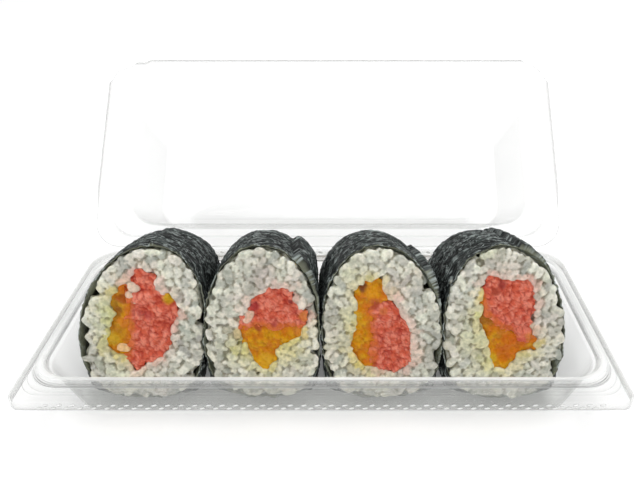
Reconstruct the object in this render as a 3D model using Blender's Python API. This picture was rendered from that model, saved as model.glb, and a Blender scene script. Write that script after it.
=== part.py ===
"""Takeaway sushi tray: a clear one-piece pack with a hinged lid, open, holding cut rolls.

The unit is the metre and +Z is up. The origin is the middle of the tray's underside, and
the rolls show their cut faces towards -Y. The lid turns on a line along X behind the tray.
"""
import math
import random

import bmesh
import bpy
from mathutils import Vector

MM = 0.001

# Tray
BASE_WIDTH = 201.6 * MM
BASE_DEPTH = 89 * MM
FLANGE_HEIGHT = 21 * MM
WALL = 0.5 * MM
CORNER_STEPS = 5
SKIRT_DROP = 3.4 * MM
RIM_RISE = 3.1 * MM
RIM_INSET = 7.8 * MM
LEDGE_INSET = 10.8 * MM
FLOOR_INSET = 16.4 * MM
OUTER_RADIUS = 11 * MM
MOUTH_RADIUS = 12 * MM
FLOOR_RADIUS = 9 * MM
TAB_RADIUS = 4.5 * MM
SIDE_SHIFT = 2.4 * MM
EDGE_INSET = 1.0 * MM
EDGE_EASE = 5.2 * MM

# Lid, given as it lies when shut
LID_WIDTH = 205.4 * MM
LID_DEPTH = 90.8 * MM
LID_OPEN_ANGLE = math.radians(137)
LID_SKIRT = 2.4 * MM
LID_FLANGE = 4.9 * MM
LID_LEDGE_RISE = 4.9 * MM
LID_WALL_INSET = 12 * MM
LID_TOP_INSET = 18.8 * MM
LID_PANEL_INSET = 24.6 * MM
LID_SHOULDER_RISE = 36.8 * MM
LID_PANEL_RISE = 37.8 * MM
SKIRT_FADE_START = 16 * MM
SKIRT_FADE_LENGTH = 12 * MM
SKIRT_FADE_CORNER = 3 * MM
SKIRT_LIFTED = 0.15 * MM

# Hinge line, just behind and above the tray's rear edge
HINGE_BEHIND = 0.7 * MM
HINGE_ABOVE = 0.3 * MM
HINGE_GAP = 0.5 * MM

# Rolls: each leans back, so that its cut face looks up a little
ROLL_LENGTH = 36 * MM
ROLL_HEIGHT = 55.4 * MM
WIDEST_AT = 23 * MM
LEAN_BACK = math.radians(17)
FACE_BEHIND_EDGE = 18 * MM
FACE_FOOT = 4.1 * MM
REAR_NARROWING = 0.06
REAR_FOOT_RISE = 7.8 * MM
REAR_TOP_DROP = 1.0 * MM
REAR_END_DROP = 3.0 * MM
UPPER_POWER = 2.1
LOWER_POWER = 2.7

# Layers of a roll
SEAWEED = 0.5 * MM
FLAP = 0.7 * MM
FLAP_SLOPE = 1.6
GAP = 0.35 * MM
OUTLINE_STEPS = 28
STATIONS = 2

# Rice grains that show at the two cut faces
CORE_RECESS = 1.1 * MM
GRAIN_LENGTH = 5.8 * MM
GRAIN_WIDTH = 2.8 * MM
GRAIN_SIDES = 5
GRAIN_LIFT = 0.35 * MM
FRONT_GRAINS = 34
REAR_GRAINS = 8
FRONT_SPACING = 5.0 * MM
REAR_SPACING = 9.0 * MM
GRAIN_TRIES = 4000
END_ROUNDING = 0.6 * MM
FISH_RECESS = 0.6 * MM
FISH_ROUGHNESS = 1.0 * MM
PICKLE_RECESS = 1.0 * MM
PICKLE_ROUGHNESS = 0.4 * MM
SEED = 11

# Cross-sections in millimetres, x from the roll's middle and y up from its foot, clockwise. Each roll
# lies a little askew, its rear end moved sideways by its rear shift.
ROLLS = (
    {
        "number": 1, "middle": -62.8, "half_width": 21.5, "lean": 6.0, "rear_shift": -2.0,
        "flap_from": 62, "flap_to": 98,
        "fish": ((-5, 42), (-2, 45.5), (2.5, 47.5), (6.5, 46), (7.5, 41.5), (13, 37.5), (14, 31.5),
                 (11, 26), (10, 20), (6.5, 15.5), (1.5, 13), (-2.5, 10), (-6, 16)),
        "pickle": ((-6, 16), (-9.5, 17), (-12, 20.5), (-10.5, 26), (-8.5, 33), (-8.5, 39), (-5, 42)),
        "seam": ((-6, 16), (-3.5, 22), (-4, 29), (-3, 36), (-5, 42)),
    },
    {
        "number": 2, "middle": -20.9, "half_width": 20.0, "lean": 0.5, "rear_shift": -2.3,
        "flap_from": 15, "flap_to": 58,
        "fish": ((-8, 26.5), (-6.5, 30), (-4, 36), (1, 40), (5.5, 42), (10.5, 41), (12, 36),
                 (16, 31.5), (14.5, 26.5)),
        "pickle": ((14.5, 26.5), (12.5, 23), (6.5, 19.5), (4.5, 15), (1.5, 11.5), (-2, 12.5),
                   (-4, 18), (-6, 22), (-8, 26.5)),
        "seam": ((14.5, 26.5), (9, 27.5), (4, 27), (-2, 27.5), (-8, 26.5)),
    },
    {
        "number": 3, "middle": 20.6, "half_width": 20.7, "lean": -1.5, "rear_shift": -3.2,
        "flap_from": 10, "flap_to": 50,
        "fish": ((1.5, 38.5), (5, 35), (8, 30.5), (10, 26), (10.5, 21), (9.5, 13.5), (4.5, 10.5),
                 (-0.5, 10.5), (-4, 12)),
        "pickle": ((-4, 12), (-8, 13), (-11, 19.5), (-9.5, 27), (-9, 35), (-9, 41.5), (-5, 44.5),
                   (-0.5, 43.5), (1.5, 38.5)),
        "seam": ((-4, 12), (-3.5, 20), (-4, 28), (-4.5, 34.5), (-1.5, 37.5), (1.5, 38.5)),
    },
    {
        "number": 4, "middle": 62.8, "half_width": 21.0, "lean": -2.5, "rear_shift": -3.6,
        "flap_from": 40, "flap_to": 84,
        "fish": ((-9, 38), (-8.5, 44), (-5, 46), (0.5, 44.5), (7.5, 44), (9.5, 36), (9, 28), (11, 22.5)),
        "pickle": ((11, 22.5), (10.5, 19), (5.5, 17.5), (3, 12), (-2.5, 11.5), (-5.5, 17.5), (-6, 24),
                   (-10, 30), (-9, 38)),
        "seam": ((11, 22.5), (6, 22), (1, 25), (-5, 29), (-7.5, 33.5), (-9, 38)),
    },
)


def clear_scene():
    """Remove every object that the file starts with."""
    for old in list(bpy.data.objects):
        bpy.data.objects.remove(old)


def finish(name, colour, roughness, alpha=1.0):
    """A plain Principled material."""
    material = bpy.data.materials.new(name)
    material.use_nodes = True
    shader = material.node_tree.nodes["Principled BSDF"]
    shader.inputs["Base Color"].default_value = (*colour, 1)
    shader.inputs["Roughness"].default_value = roughness
    shader.inputs["Metallic"].default_value = 0
    shader.inputs["Alpha"].default_value = alpha
    return material


def new_object(name, bm, material):
    """Turn a bmesh into a named object in the scene, with its faces pointing out."""
    bmesh.ops.recalc_face_normals(bm, faces=bm.faces)
    mesh = bpy.data.meshes.new(name)
    bm.to_mesh(mesh)
    bm.free()
    mesh.shade_smooth()
    mesh.set_sharp_from_angle(angle=math.radians(35))
    mesh.materials.append(material)
    made = bpy.data.objects.new(name, mesh)
    bpy.context.scene.collection.objects.link(made)
    return made


def band(bm, first, second):
    """Join two closed loops that have the same number of points."""
    count = len(first)
    for i in range(count):
        j = (i + 1) % count
        bm.faces.new((first[i], first[j], second[j], second[i]))


def loft(bm, loops):
    """Join a run of closed loops of points, leaving both ends open, and return their vertices."""
    rows = [[bm.verts.new(point) for point in loop] for loop in loops]
    for first, second in zip(rows, rows[1:]):
        band(bm, first, second)
    return rows


def smooth_step(value):
    """Ease from 0 to 1."""
    value = min(max(value, 0), 1)
    return value * value * (3 - 2 * value)


# Pack


def offset_line(points, distance):
    """Move an open line of (inset, height) points to its right-hand side, with mitred corners."""
    normals = []
    for (x0, z0), (x1, z1) in zip(points, points[1:]):
        length = math.hypot(x1 - x0, z1 - z0)
        normals.append(((z1 - z0) / length, -(x1 - x0) / length))
    moved = []
    for i, (x, z) in enumerate(points):
        before = normals[max(i - 1, 0)]
        after = normals[min(i, len(normals) - 1)]
        share = distance / (1 + before[0] * after[0] + before[1] * after[1])
        moved.append((x + share * (before[0] + after[0]), z + share * (before[1] + after[1])))
    return moved


def rounded_loop(width, depth, inset, radius, side_shift=0, front_radius=None):
    """Points round a rectangle with round corners, seen from above, about its own middle.

    Away from the edge the two sides are moved out by side_shift, and at the edge the two front
    corners have their own radius.
    """
    inner = smooth_step((inset - EDGE_INSET) / EDGE_EASE)
    half_x = width / 2 - inset + side_shift * inner
    half_y = depth / 2 - inset
    front = radius if front_radius is None else front_radius + (radius - front_radius) * inner
    corners = ((1, -1, -90, front), (1, 1, 0, radius), (-1, 1, 90, radius), (-1, -1, 180, front))
    points = []
    for side_x, side_y, start, bend in corners:
        for step in range(CORNER_STEPS + 1):
            angle = math.radians(start + 90 * step / CORNER_STEPS)
            x = side_x * (half_x - bend) + bend * math.cos(angle)
            y = side_y * (half_y - bend) + bend * math.sin(angle)
            points.append((x, y))
    return points


def shell(name, width, depth, profile, material, fade=None, side_shift=0, front_radius=None):
    """A thin formed sheet: the profile gives (inset, height, corner radius) from edge to middle."""
    upper = [(inset, height) for inset, height, radius in profile]
    lower = offset_line(upper, WALL)
    radii = [radius for inset, height, radius in profile]
    loops = []
    for line, row_radii in ((list(reversed(upper)), list(reversed(radii))), (lower, radii)):
        for (inset, height), radius in zip(line, row_radii):
            loop = []
            for x, y in rounded_loop(width, depth, inset, radius, side_shift, front_radius):
                loop.append((x, y, fade(x, y, height) if fade else height))
            loops.append(loop)
    bm = bmesh.new()
    rows = loft(bm, loops)
    bm.faces.new(rows[0])
    bm.faces.new(rows[-1])
    return new_object(name, bm, material)


def make_base(material):
    """The tray: skirt, flange with front corner tabs, raised rim, lock ledge, wall and flat floor."""
    top = FLANGE_HEIGHT + 0.1 * MM
    rim = FLANGE_HEIGHT + RIM_RISE
    profile = (
        (0, FLANGE_HEIGHT - SKIRT_DROP, OUTER_RADIUS),
        (0.3 * MM, top - 0.3 * MM, OUTER_RADIUS),
        (0.7 * MM, top, OUTER_RADIUS),
        (RIM_INSET - 1.6 * MM, top, OUTER_RADIUS),
        (RIM_INSET - 0.5 * MM, rim - 0.4 * MM, MOUTH_RADIUS),
        (RIM_INSET, rim, MOUTH_RADIUS),
        (RIM_INSET + 0.8 * MM, rim, MOUTH_RADIUS),
        (RIM_INSET + 1.4 * MM, rim - 0.6 * MM, MOUTH_RADIUS),
        (LEDGE_INSET - 0.9 * MM, rim - 2.8 * MM, MOUTH_RADIUS),
        (LEDGE_INSET, rim - 3.3 * MM, MOUTH_RADIUS),
        (FLOOR_INSET - 0.8 * MM, 1.6 * MM, FLOOR_RADIUS + 1 * MM),
        (FLOOR_INSET, WALL + 0.3 * MM, FLOOR_RADIUS + 0.5 * MM),
        (FLOOR_INSET + 1.4 * MM, WALL, FLOOR_RADIUS),
    )
    return shell("tray_base", BASE_WIDTH, BASE_DEPTH, profile, material, None, SIDE_SHIFT, TAB_RADIUS)


def fade_skirt(x, y, height):
    """Lift the lid's skirt near the hinge, where the sheet folds, and over the tray's corner tabs."""
    if height > 0:
        return height
    hinge = (y - LID_DEPTH / 2 + SKIRT_FADE_START + SKIRT_FADE_LENGTH) / SKIRT_FADE_LENGTH
    past_x = abs(x) - LID_WIDTH / 2 + MOUTH_RADIUS
    past_y = -y - LID_DEPTH / 2 + MOUTH_RADIUS
    share = smooth_step(max(hinge, min(past_x, past_y) / SKIRT_FADE_CORNER))
    return height + share * (SKIRT_LIFTED - height)


def make_lid(material):
    """The lid: skirt, flange, step over the tray's rim, deep dome and raised panel."""
    profile = (
        (0, -LID_SKIRT, MOUTH_RADIUS),
        (0.3 * MM, 0.5 * MM, MOUTH_RADIUS),
        (0.7 * MM, 0.8 * MM, MOUTH_RADIUS),
        (LID_FLANGE, 0.8 * MM, MOUTH_RADIUS),
        (LID_FLANGE + 0.8 * MM, LID_LEDGE_RISE - 0.9 * MM, MOUTH_RADIUS),
        (LID_FLANGE + 1.3 * MM, LID_LEDGE_RISE - 0.4 * MM, MOUTH_RADIUS),
        (LID_WALL_INSET - 0.8 * MM, LID_LEDGE_RISE, MOUTH_RADIUS),
        (LID_WALL_INSET, LID_LEDGE_RISE + 0.7 * MM, MOUTH_RADIUS),
        (LID_TOP_INSET - 0.8 * MM, LID_SHOULDER_RISE - 2.2 * MM, MOUTH_RADIUS),
        (LID_TOP_INSET, LID_SHOULDER_RISE - 0.8 * MM, MOUTH_RADIUS),
        (LID_TOP_INSET + 1.6 * MM, LID_SHOULDER_RISE, MOUTH_RADIUS),
        (LID_PANEL_INSET - 1.2 * MM, LID_SHOULDER_RISE, MOUTH_RADIUS),
        (LID_PANEL_INSET, LID_PANEL_RISE, MOUTH_RADIUS),
    )
    lid = shell("tray_lid", LID_WIDTH, LID_DEPTH, profile, material, fade_skirt)
    for vertex in lid.data.vertices:
        vertex.co.y -= LID_DEPTH / 2 + HINGE_GAP
    hinge = bpy.data.objects.new("lid_hinge", None)
    bpy.context.scene.collection.objects.link(hinge)
    hinge.location = (0, BASE_DEPTH / 2 + HINGE_BEHIND, FLANGE_HEIGHT + HINGE_ABOVE)
    hinge.rotation_euler = (-LID_OPEN_ANGLE, 0, 0)
    lid.parent = hinge
    return lid


# Roll shape


def roll_point(roll, x, up, along):
    """World point for a point of the cross-section, so far along the roll from its cut face."""
    share = along / ROLL_LENGTH
    foot = REAR_FOOT_RISE * share
    drop = REAR_TOP_DROP * share + REAR_END_DROP * share ** 4
    height = (ROLL_HEIGHT - foot - drop) / ROLL_HEIGHT
    x = x * (1 - REAR_NARROWING * share) + roll["rear_shift"] * MM * share
    up = foot + up * height
    y = up * math.sin(LEAN_BACK) + along * math.cos(LEAN_BACK)
    z = up * math.cos(LEAN_BACK) - along * math.sin(LEAN_BACK)
    face_y = -BASE_DEPTH / 2 + FACE_BEHIND_EDGE
    return Vector((roll["middle"] * MM + x, face_y + y, FACE_FOOT + z))


def outer_outline(roll, angles):
    """The roll's outside: an egg that leans sideways and is flattened where it lies."""
    points = []
    for degrees in angles:
        angle = math.radians(degrees)
        upper = math.sin(angle) >= 0
        power = 2 / (UPPER_POWER if upper else LOWER_POWER)
        across = math.copysign(abs(math.cos(angle)) ** power, math.cos(angle))
        upward = math.copysign(abs(math.sin(angle)) ** power, math.sin(angle))
        reach = ROLL_HEIGHT - WIDEST_AT if upper else WIDEST_AT
        lean = roll["lean"] * MM * max(upward, 0)
        points.append((across * roll["half_width"] * MM + lean, WIDEST_AT + upward * reach))
    return points


def outline_angles(roll):
    """Even steps round the roll, with one more for the sharp end of the seaweed's flap."""
    angles = [360 * i / OUTLINE_STEPS for i in range(OUTLINE_STEPS)]
    angles += [roll["flap_to"] - 1, roll["flap_to"] + 1]
    return sorted(angles)


def grow(points, distance):
    """Move a closed outline outwards by a distance, or inwards where it is negative."""
    area = sum(a[0] * b[1] - b[0] * a[1] for a, b in zip(points, points[1:] + points[:1]))
    side = distance if area > 0 else -distance
    moved = []
    count = len(points)
    for i, here in enumerate(points):
        before = Vector(here) - Vector(points[i - 1])
        after = Vector(points[(i + 1) % count]) - Vector(here)
        before.normalize()
        after.normalize()
        normal = Vector((before.y + after.y, -before.x - after.x))
        normal.normalize()
        stretch = max(normal.dot(Vector((after.y, -after.x))), 0.7)
        moved.append(tuple(Vector(here) + normal * side / stretch))
    return moved


def curve_through(points):
    """An open curve through points in millimetres, with one more point halfway along each span."""
    line = [Vector(point) * MM for point in points]
    ends = [2 * line[0] - line[1]] + line + [2 * line[-1] - line[-2]]
    made = []
    for before, start, end, after in zip(ends, ends[1:], ends[2:], ends[3:]):
        made.append(tuple(start))
        made.append(tuple((start + end) * 0.5625 - (before + after) * 0.0625))
    made.append(tuple(line[-1]))
    return made


def filling_outlines(roll):
    """Closed outlines of the fish, of the pickle beside it, and of the tunnel that holds both."""
    fish_edge = curve_through(roll["fish"])
    pickle_edge = curve_through(roll["pickle"])
    seam = curve_through(roll["seam"])
    fish = fish_edge[:-1] + seam[:-1]
    pickle = pickle_edge[:-1] + list(reversed(seam))[:-1]
    tunnel = fish_edge[:-1] + pickle_edge[:-1]
    return grow(fish, -GAP / 2), grow(pickle, -GAP / 2), grow(tunnel, GAP / 2)


def roll_loops(roll, outline, start, end):
    """The outline repeated along the roll, in world points."""
    loops = []
    for station in range(STATIONS + 1):
        along = start + (end - start) * station / STATIONS
        loops.append([roll_point(roll, x, up, along) for x, up in outline])
    return loops


# Layers of a roll


def make_seaweed(roll, material):
    """The sheet wrapped round the rice, with its loose end lying over its start as a flap."""
    angles = outline_angles(roll)
    middle = outer_outline(roll, angles)
    inner = grow(middle, -SEAWEED)
    outer = []
    for degrees, flat, raised in zip(angles, middle, grow(middle, FLAP)):
        share = (degrees - roll["flap_from"]) / (roll["flap_to"] - roll["flap_from"])
        share = smooth_step(share * FLAP_SLOPE) if 0 <= share <= 1 else 0
        outer.append(tuple(Vector(flat).lerp(Vector(raised), share)))
    bm = bmesh.new()
    outside = loft(bm, roll_loops(roll, outer, 0, ROLL_LENGTH))
    inside = loft(bm, roll_loops(roll, inner, 0, ROLL_LENGTH))
    band(bm, outside[0], inside[0])
    band(bm, outside[-1], inside[-1])
    return new_object(f"roll_{roll['number']}_seaweed", bm, material)


def inside(point, outline):
    """Whether a point lies inside a closed outline."""
    found = False
    x, y = point
    for (x0, y0), (x1, y1) in zip(outline, outline[1:] + outline[:1]):
        if (y0 > y) != (y1 > y) and x < (x1 - x0) * (y - y0) / (y1 - y0) + x0:
            found = not found
    return found


def edge_distance(point, outline):
    """Shortest distance from a point to a closed outline."""
    best = math.inf
    here = Vector(point)
    for start, end in zip(outline, outline[1:] + outline[:1]):
        start = Vector(start)
        span = Vector(end) - start
        share = min(max((here - start).dot(span) / span.length_squared, 0), 1)
        best = min(best, (here - start - span * share).length)
    return best


def grain_places(roll, core, tunnel, count, spacing, draw):
    """Places and directions for grains, clear of the seaweed, of the fillings and of each other."""
    found = []
    half = GRAIN_LENGTH / 2 - GRAIN_WIDTH / 2
    width = roll["half_width"] * MM
    for _ in range(GRAIN_TRIES):
        if len(found) == count:
            break
        place = Vector((draw.uniform(-width, width), draw.uniform(0, ROLL_HEIGHT)))
        turn = draw.uniform(0, math.pi)
        if any((place - other).length < spacing for other, _ in found):
            continue
        reach = Vector((math.cos(turn), math.sin(turn))) * half
        ends = (place - reach, place, place + reach)
        if not all(inside(end, core) and edge_distance(end, core) > GRAIN_WIDTH / 2 for end in ends):
            continue
        if any(inside(end, tunnel) or edge_distance(end, tunnel) < GRAIN_WIDTH / 2 + GAP for end in ends):
            continue
        found.append((place, turn))
    return found


def grain_mesh(name):
    """One plump grain of few sides, along its own X axis."""
    rings = ((-0.34, 0.72), (0, 1.0), (0.34, 0.72))
    bm = bmesh.new()
    loops = []
    for along, fullness in rings:
        loop = []
        for side in range(GRAIN_SIDES):
            angle = 2 * math.pi * side / GRAIN_SIDES
            radius = fullness * GRAIN_WIDTH / 2
            loop.append((along * GRAIN_LENGTH, radius * math.cos(angle), radius * math.sin(angle)))
        loops.append(loop)
    rows = loft(bm, loops)
    for row, x in ((rows[0], -GRAIN_LENGTH / 2), (rows[-1], GRAIN_LENGTH / 2)):
        tip = bm.verts.new((x, 0, 0))
        for i in range(GRAIN_SIDES):
            bm.faces.new((row[i], row[(i + 1) % GRAIN_SIDES], tip))
    bmesh.ops.recalc_face_normals(bm, faces=bm.faces)
    mesh = bpy.data.meshes.new(name)
    bm.to_mesh(mesh)
    bm.free()
    return mesh


def lay_grains(roll, core, tunnel, collection, draw):
    """Put loose grains half sunk into both cut faces of the rice."""
    faces = (
        (FRONT_GRAINS, FRONT_SPACING, CORE_RECESS - GRAIN_LIFT),
        (REAR_GRAINS, REAR_SPACING, ROLL_LENGTH - CORE_RECESS + GRAIN_LIFT),
    )
    mesh = grain_mesh("grain")
    for count, spacing, along in faces:
        for place, turn in grain_places(roll, core, tunnel, count, spacing, draw):
            grain = bpy.data.objects.new("grain", mesh)
            collection.objects.link(grain)
            spot = roll_point(roll, place.x, place.y, along)
            ahead = roll_point(roll, place.x + math.cos(turn) * MM, place.y + math.sin(turn) * MM, along)
            grain.location = spot
            grain.rotation_mode = "QUATERNION"
            grain.rotation_quaternion = (ahead - spot).to_track_quat("X", "Z")


def add_boolean(target, operation, cutter=None, collection=None):
    """A Boolean modifier with one object, or with a whole collection, as its operand."""
    modifier = target.modifiers.new(operation.lower(), "BOOLEAN")
    modifier.operation = operation
    modifier.solver = "EXACT"
    if collection:
        modifier.operand_type = "COLLECTION"
        modifier.collection = collection
    else:
        modifier.object = cutter


def make_rice(roll, tunnel, material, draw):
    """The rice: a core with a tunnel for the fillings and grains fused to both cut faces."""
    outline = outer_outline(roll, [360 * i / OUTLINE_STEPS for i in range(OUTLINE_STEPS)])
    core = grow(outline, -SEAWEED - GAP)
    bm = bmesh.new()
    rows = loft(bm, roll_loops(roll, core, CORE_RECESS, ROLL_LENGTH - CORE_RECESS))
    bm.faces.new(rows[0])
    bm.faces.new(rows[-1])
    rice = new_object(f"roll_{roll['number']}_rice", bm, material)

    bm = bmesh.new()
    rows = loft(bm, roll_loops(roll, tunnel, -CORE_RECESS, ROLL_LENGTH + CORE_RECESS))
    bm.faces.new(rows[0])
    bm.faces.new(rows[-1])
    cutter = new_object("tunnel", bm, material)

    grains = bpy.data.collections.new("grains")
    bpy.context.scene.collection.children.link(grains)
    lay_grains(roll, core, tunnel, grains, draw)
    add_boolean(rice, "DIFFERENCE", cutter=cutter)
    add_boolean(rice, "UNION", collection=grains)
    bpy.context.view_layer.update()
    evaluated = rice.evaluated_get(bpy.context.evaluated_depsgraph_get())
    fused = bpy.data.meshes.new_from_object(evaluated)
    rice.modifiers.clear()
    rice.data = fused
    for grain in list(grains.objects):
        bpy.data.objects.remove(grain)
    bpy.data.collections.remove(grains)
    bpy.data.objects.remove(cutter)
    return rice


def make_filling(roll, name, outline, recess, rough, material, draw):
    """A strand of filling that runs through the roll, its two cut ends rough and a little domed."""
    start = recess
    end = ROLL_LENGTH - recess
    rim = grow(outline, -END_ROUNDING)
    bm = bmesh.new()
    rows = loft(bm, roll_loops(roll, outline, start, end))
    for row, along, outward in ((rows[0], start, -1), (rows[-1], end, 1)):
        ring = []
        for x, y in rim:
            height = rough * draw.uniform(0.2, 1)
            ring.append(bm.verts.new(roll_point(roll, x, y, along + outward * height)))
        band(bm, row, ring)
        bm.faces.new(ring)
    bmesh.ops.triangulate(bm, faces=bm.faces)
    return new_object(f"roll_{roll['number']}_{name}", bm, material)


def make_roll(roll, materials):
    """One cut roll: seaweed, rice, minced fish and pickle."""
    draw = random.Random(SEED + roll["number"])
    fish, pickle, tunnel = filling_outlines(roll)
    make_seaweed(roll, materials["seaweed"])
    make_rice(roll, tunnel, materials["rice"], draw)
    make_filling(roll, "fish", fish, FISH_RECESS, FISH_ROUGHNESS, materials["fish"], draw)
    make_filling(roll, "pickle", pickle, PICKLE_RECESS, PICKLE_ROUGHNESS, materials["pickle"], draw)


clear_scene()
finishes = {
    "clear": finish("clear_plastic", (0.93, 0.95, 0.95), 0.06, 0.3),
    "seaweed": finish("seaweed", (0.018, 0.026, 0.024), 0.45),
    "rice": finish("rice", (0.80, 0.81, 0.76), 0.35),
    "fish": finish("minced_fish", (0.78, 0.20, 0.13), 0.45),
    "pickle": finish("pickle", (0.80, 0.40, 0.02), 0.35),
}
make_base(finishes["clear"])
make_lid(finishes["clear"])
for cut_roll in ROLLS:
    make_roll(cut_roll, finishes)
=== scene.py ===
import math

import bpy
import numpy as np
from mathutils import Euler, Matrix, Vector, kdtree, noise


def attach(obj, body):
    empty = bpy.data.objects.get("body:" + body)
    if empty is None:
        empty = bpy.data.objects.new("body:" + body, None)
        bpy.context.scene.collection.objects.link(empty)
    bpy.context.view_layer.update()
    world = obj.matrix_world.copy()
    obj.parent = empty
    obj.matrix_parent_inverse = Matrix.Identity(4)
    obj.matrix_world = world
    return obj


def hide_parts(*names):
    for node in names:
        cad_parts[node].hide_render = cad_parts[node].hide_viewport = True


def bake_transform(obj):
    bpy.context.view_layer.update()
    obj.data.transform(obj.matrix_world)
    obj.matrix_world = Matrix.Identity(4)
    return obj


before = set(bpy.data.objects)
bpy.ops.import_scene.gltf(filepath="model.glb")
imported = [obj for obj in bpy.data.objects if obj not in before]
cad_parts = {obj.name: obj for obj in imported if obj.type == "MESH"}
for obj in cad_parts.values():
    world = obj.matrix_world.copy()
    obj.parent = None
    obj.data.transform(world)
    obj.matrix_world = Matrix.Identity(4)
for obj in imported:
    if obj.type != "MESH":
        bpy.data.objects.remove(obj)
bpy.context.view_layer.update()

# Camera, floor and light
# The open pack stands on a plain white table. The camera looks down on it from in front, a little to
# the right of its middle, and broad soft lights hang overhead and to both sides.
MM = 0.001
CAMERA_PLACE = (0.0080, -0.1788, 0.1660)
CAMERA_PITCH = 57.9
CAMERA_LENS = 34.2
CAMERA_SHIFT = -0.0406
CAMERA_NEAR = 0.01
FLOOR_REACH = 6.0
FLOOR_HEIGHT = -0.0001
FLOOR_WHITE = (0.93, 0.93, 0.93)
FLOOR_GLOW = 0.17
WORLD_WHITE = (1.0, 1.0, 1.0)
WORLD_STRENGTH = 0.44
SHEETS_SEEN_THROUGH = 64
SOFT_LIGHTS = (
    # place, target, width, power
    ((0.20, 0.40, 1.50), (0, 0, 0.03), 0.80, 12.0),
    ((-1.10, -0.90, 1.20), (0, 0, 0.03), 0.80, 8.0),
    ((1.30, -0.70, 1.10), (0, 0, 0.03), 0.70, 4.5),
)


class Socket:
    """A value in a node tree: arithmetic on it adds Math nodes."""

    def __init__(self, nodes, link):
        self.nodes = nodes
        self.link = link

    def math(self, operation, *values):
        return self.nodes.add("ShaderNodeMath", {"operation": operation}, dict(enumerate(values)))

    def __add__(self, other):
        return self.math("ADD", self, other)

    def __sub__(self, other):
        return self.math("SUBTRACT", self, other)

    def __rsub__(self, other):
        return self.math("SUBTRACT", other, self)

    def __mul__(self, other):
        return self.math("MULTIPLY", self, other)

    def __pow__(self, other):
        return self.math("POWER", self, other)

    __radd__ = __add__
    __rmul__ = __mul__


class Nodes:
    """A material's or a geometry's node tree."""

    def __init__(self, tree):
        self.tree = tree

    def add(self, kind, settings=None, sockets=None, output=0):
        """Add a node: its settings first, then the values or links of its sockets."""
        node = self.tree.nodes.new(kind)
        for key, value in (settings or {}).items():
            if key == "stops":
                ramp = node.color_ramp
                while len(ramp.elements) < len(value):
                    ramp.elements.new(0.5)
                for element, (position, colour) in zip(ramp.elements, value):
                    element.position = position
                    element.color = (*colour, 1)
            else:
                setattr(node, key, value)
        for key, value in (sockets or {}).items():
            if isinstance(value, Socket):
                self.tree.links.new(value.link, node.inputs[key])
            elif isinstance(value, (tuple, list)) and node.inputs[key].type == "RGBA":
                node.inputs[key].default_value = (*value[:3], 1)
            else:
                node.inputs[key].default_value = value
        return Socket(self, node.outputs[output]) if node.outputs else None

    def mix(self, factor, first, second, blend="MIX"):
        """Mix two colours."""
        node = {"data_type": "RGBA", "blend_type": blend}
        return self.add("ShaderNodeMix", node, {0: factor, 6: first, 7: second}, 2)

    def ramp(self, value, stops):
        """A colour that follows a value."""
        return self.add("ShaderNodeValToRGB", {"stops": stops}, {"Fac": value})

    def spread(self, value, low, high):
        """A value brought to 0 at low and to 1 at high."""
        return self.add("ShaderNodeMapRange", {"clamp": True}, {0: value, 1: low, 2: high})

    def cloud(self, place, scale, detail, **more):
        """Soft random noise over a place."""
        sockets = {"Vector": place, "Scale": scale, "Detail": detail, **more}
        return self.add("ShaderNodeTexNoise", None, sockets)

    def part(self, vector, axis):
        """One of a vector's three numbers."""
        return self.add("ShaderNodeSeparateXYZ", None, {0: vector}, axis)


def new_finish(name):
    """An empty material and its nodes."""
    material = bpy.data.materials.new(name)
    material.use_nodes = True
    material.node_tree.nodes.clear()
    return material, Nodes(material.node_tree)


def surface(nodes, shader):
    """Make a shader the material's surface."""
    nodes.add("ShaderNodeOutputMaterial", None, {"Surface": shader})


def new_object(name, points, faces, material=None, smooth=True):
    """A mesh object from points in metres."""
    mesh = bpy.data.meshes.new(name)
    mesh.from_pydata([tuple(point) for point in points], [], faces)
    mesh.update()
    if smooth:
        mesh.shade_smooth()
    if material:
        mesh.materials.append(material)
    made = bpy.data.objects.new(name, mesh)
    bpy.context.scene.collection.objects.link(made)
    return made


floor_finish, nodes = new_finish("white_table")
surface(nodes, nodes.add("ShaderNodeBsdfPrincipled", None, {
    "Base Color": nodes.ramp(
        nodes.add("ShaderNodeTexNoise", None, {"Scale": 2.0}),
        ((0.3, FLOOR_WHITE), (0.7, tuple(0.99 * c for c in FLOOR_WHITE))),
    ),
    "Roughness": 0.9,
    "Specular IOR Level": 0.0,
    "Emission Color": (1.0, 1.0, 1.0),
    "Emission Strength": FLOOR_GLOW,
}))
corners = [(x * FLOOR_REACH, y * FLOOR_REACH, FLOOR_HEIGHT)
           for x, y in ((-1, -1), (1, -1), (1, 1), (-1, 1))]
floor = new_object("floor", corners, [(0, 1, 2, 3)], floor_finish)

scene = bpy.context.scene
camera = bpy.data.objects.new("camera", bpy.data.cameras.new("camera"))
scene.collection.objects.link(camera)
camera.location = CAMERA_PLACE
camera.rotation_euler = (math.radians(CAMERA_PITCH), 0, 0)
camera.data.lens = CAMERA_LENS
camera.data.shift_x = CAMERA_SHIFT
camera.data.clip_start = CAMERA_NEAR
scene.camera = camera

for place, target, width, power in SOFT_LIGHTS:
    lamp = bpy.data.lights.new("soft_light", "AREA")
    lamp.shape = "DISK"
    lamp.size = width
    lamp.energy = power
    held = bpy.data.objects.new("soft_light", lamp)
    scene.collection.objects.link(held)
    held.location = place
    held.rotation_euler = (Vector(target) - Vector(place)).to_track_quat("-Z", "Y").to_euler()

scene.world = bpy.data.worlds.new("white_room")
scene.world.use_nodes = True
backdrop = scene.world.node_tree.nodes["Background"]
backdrop.inputs["Color"].default_value = (*WORLD_WHITE, 1)
backdrop.inputs["Strength"].default_value = WORLD_STRENGTH
scene.view_settings.view_transform = "Standard"
scene.cycles.transparent_max_bounces = SHEETS_SEEN_THROUGH

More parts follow.
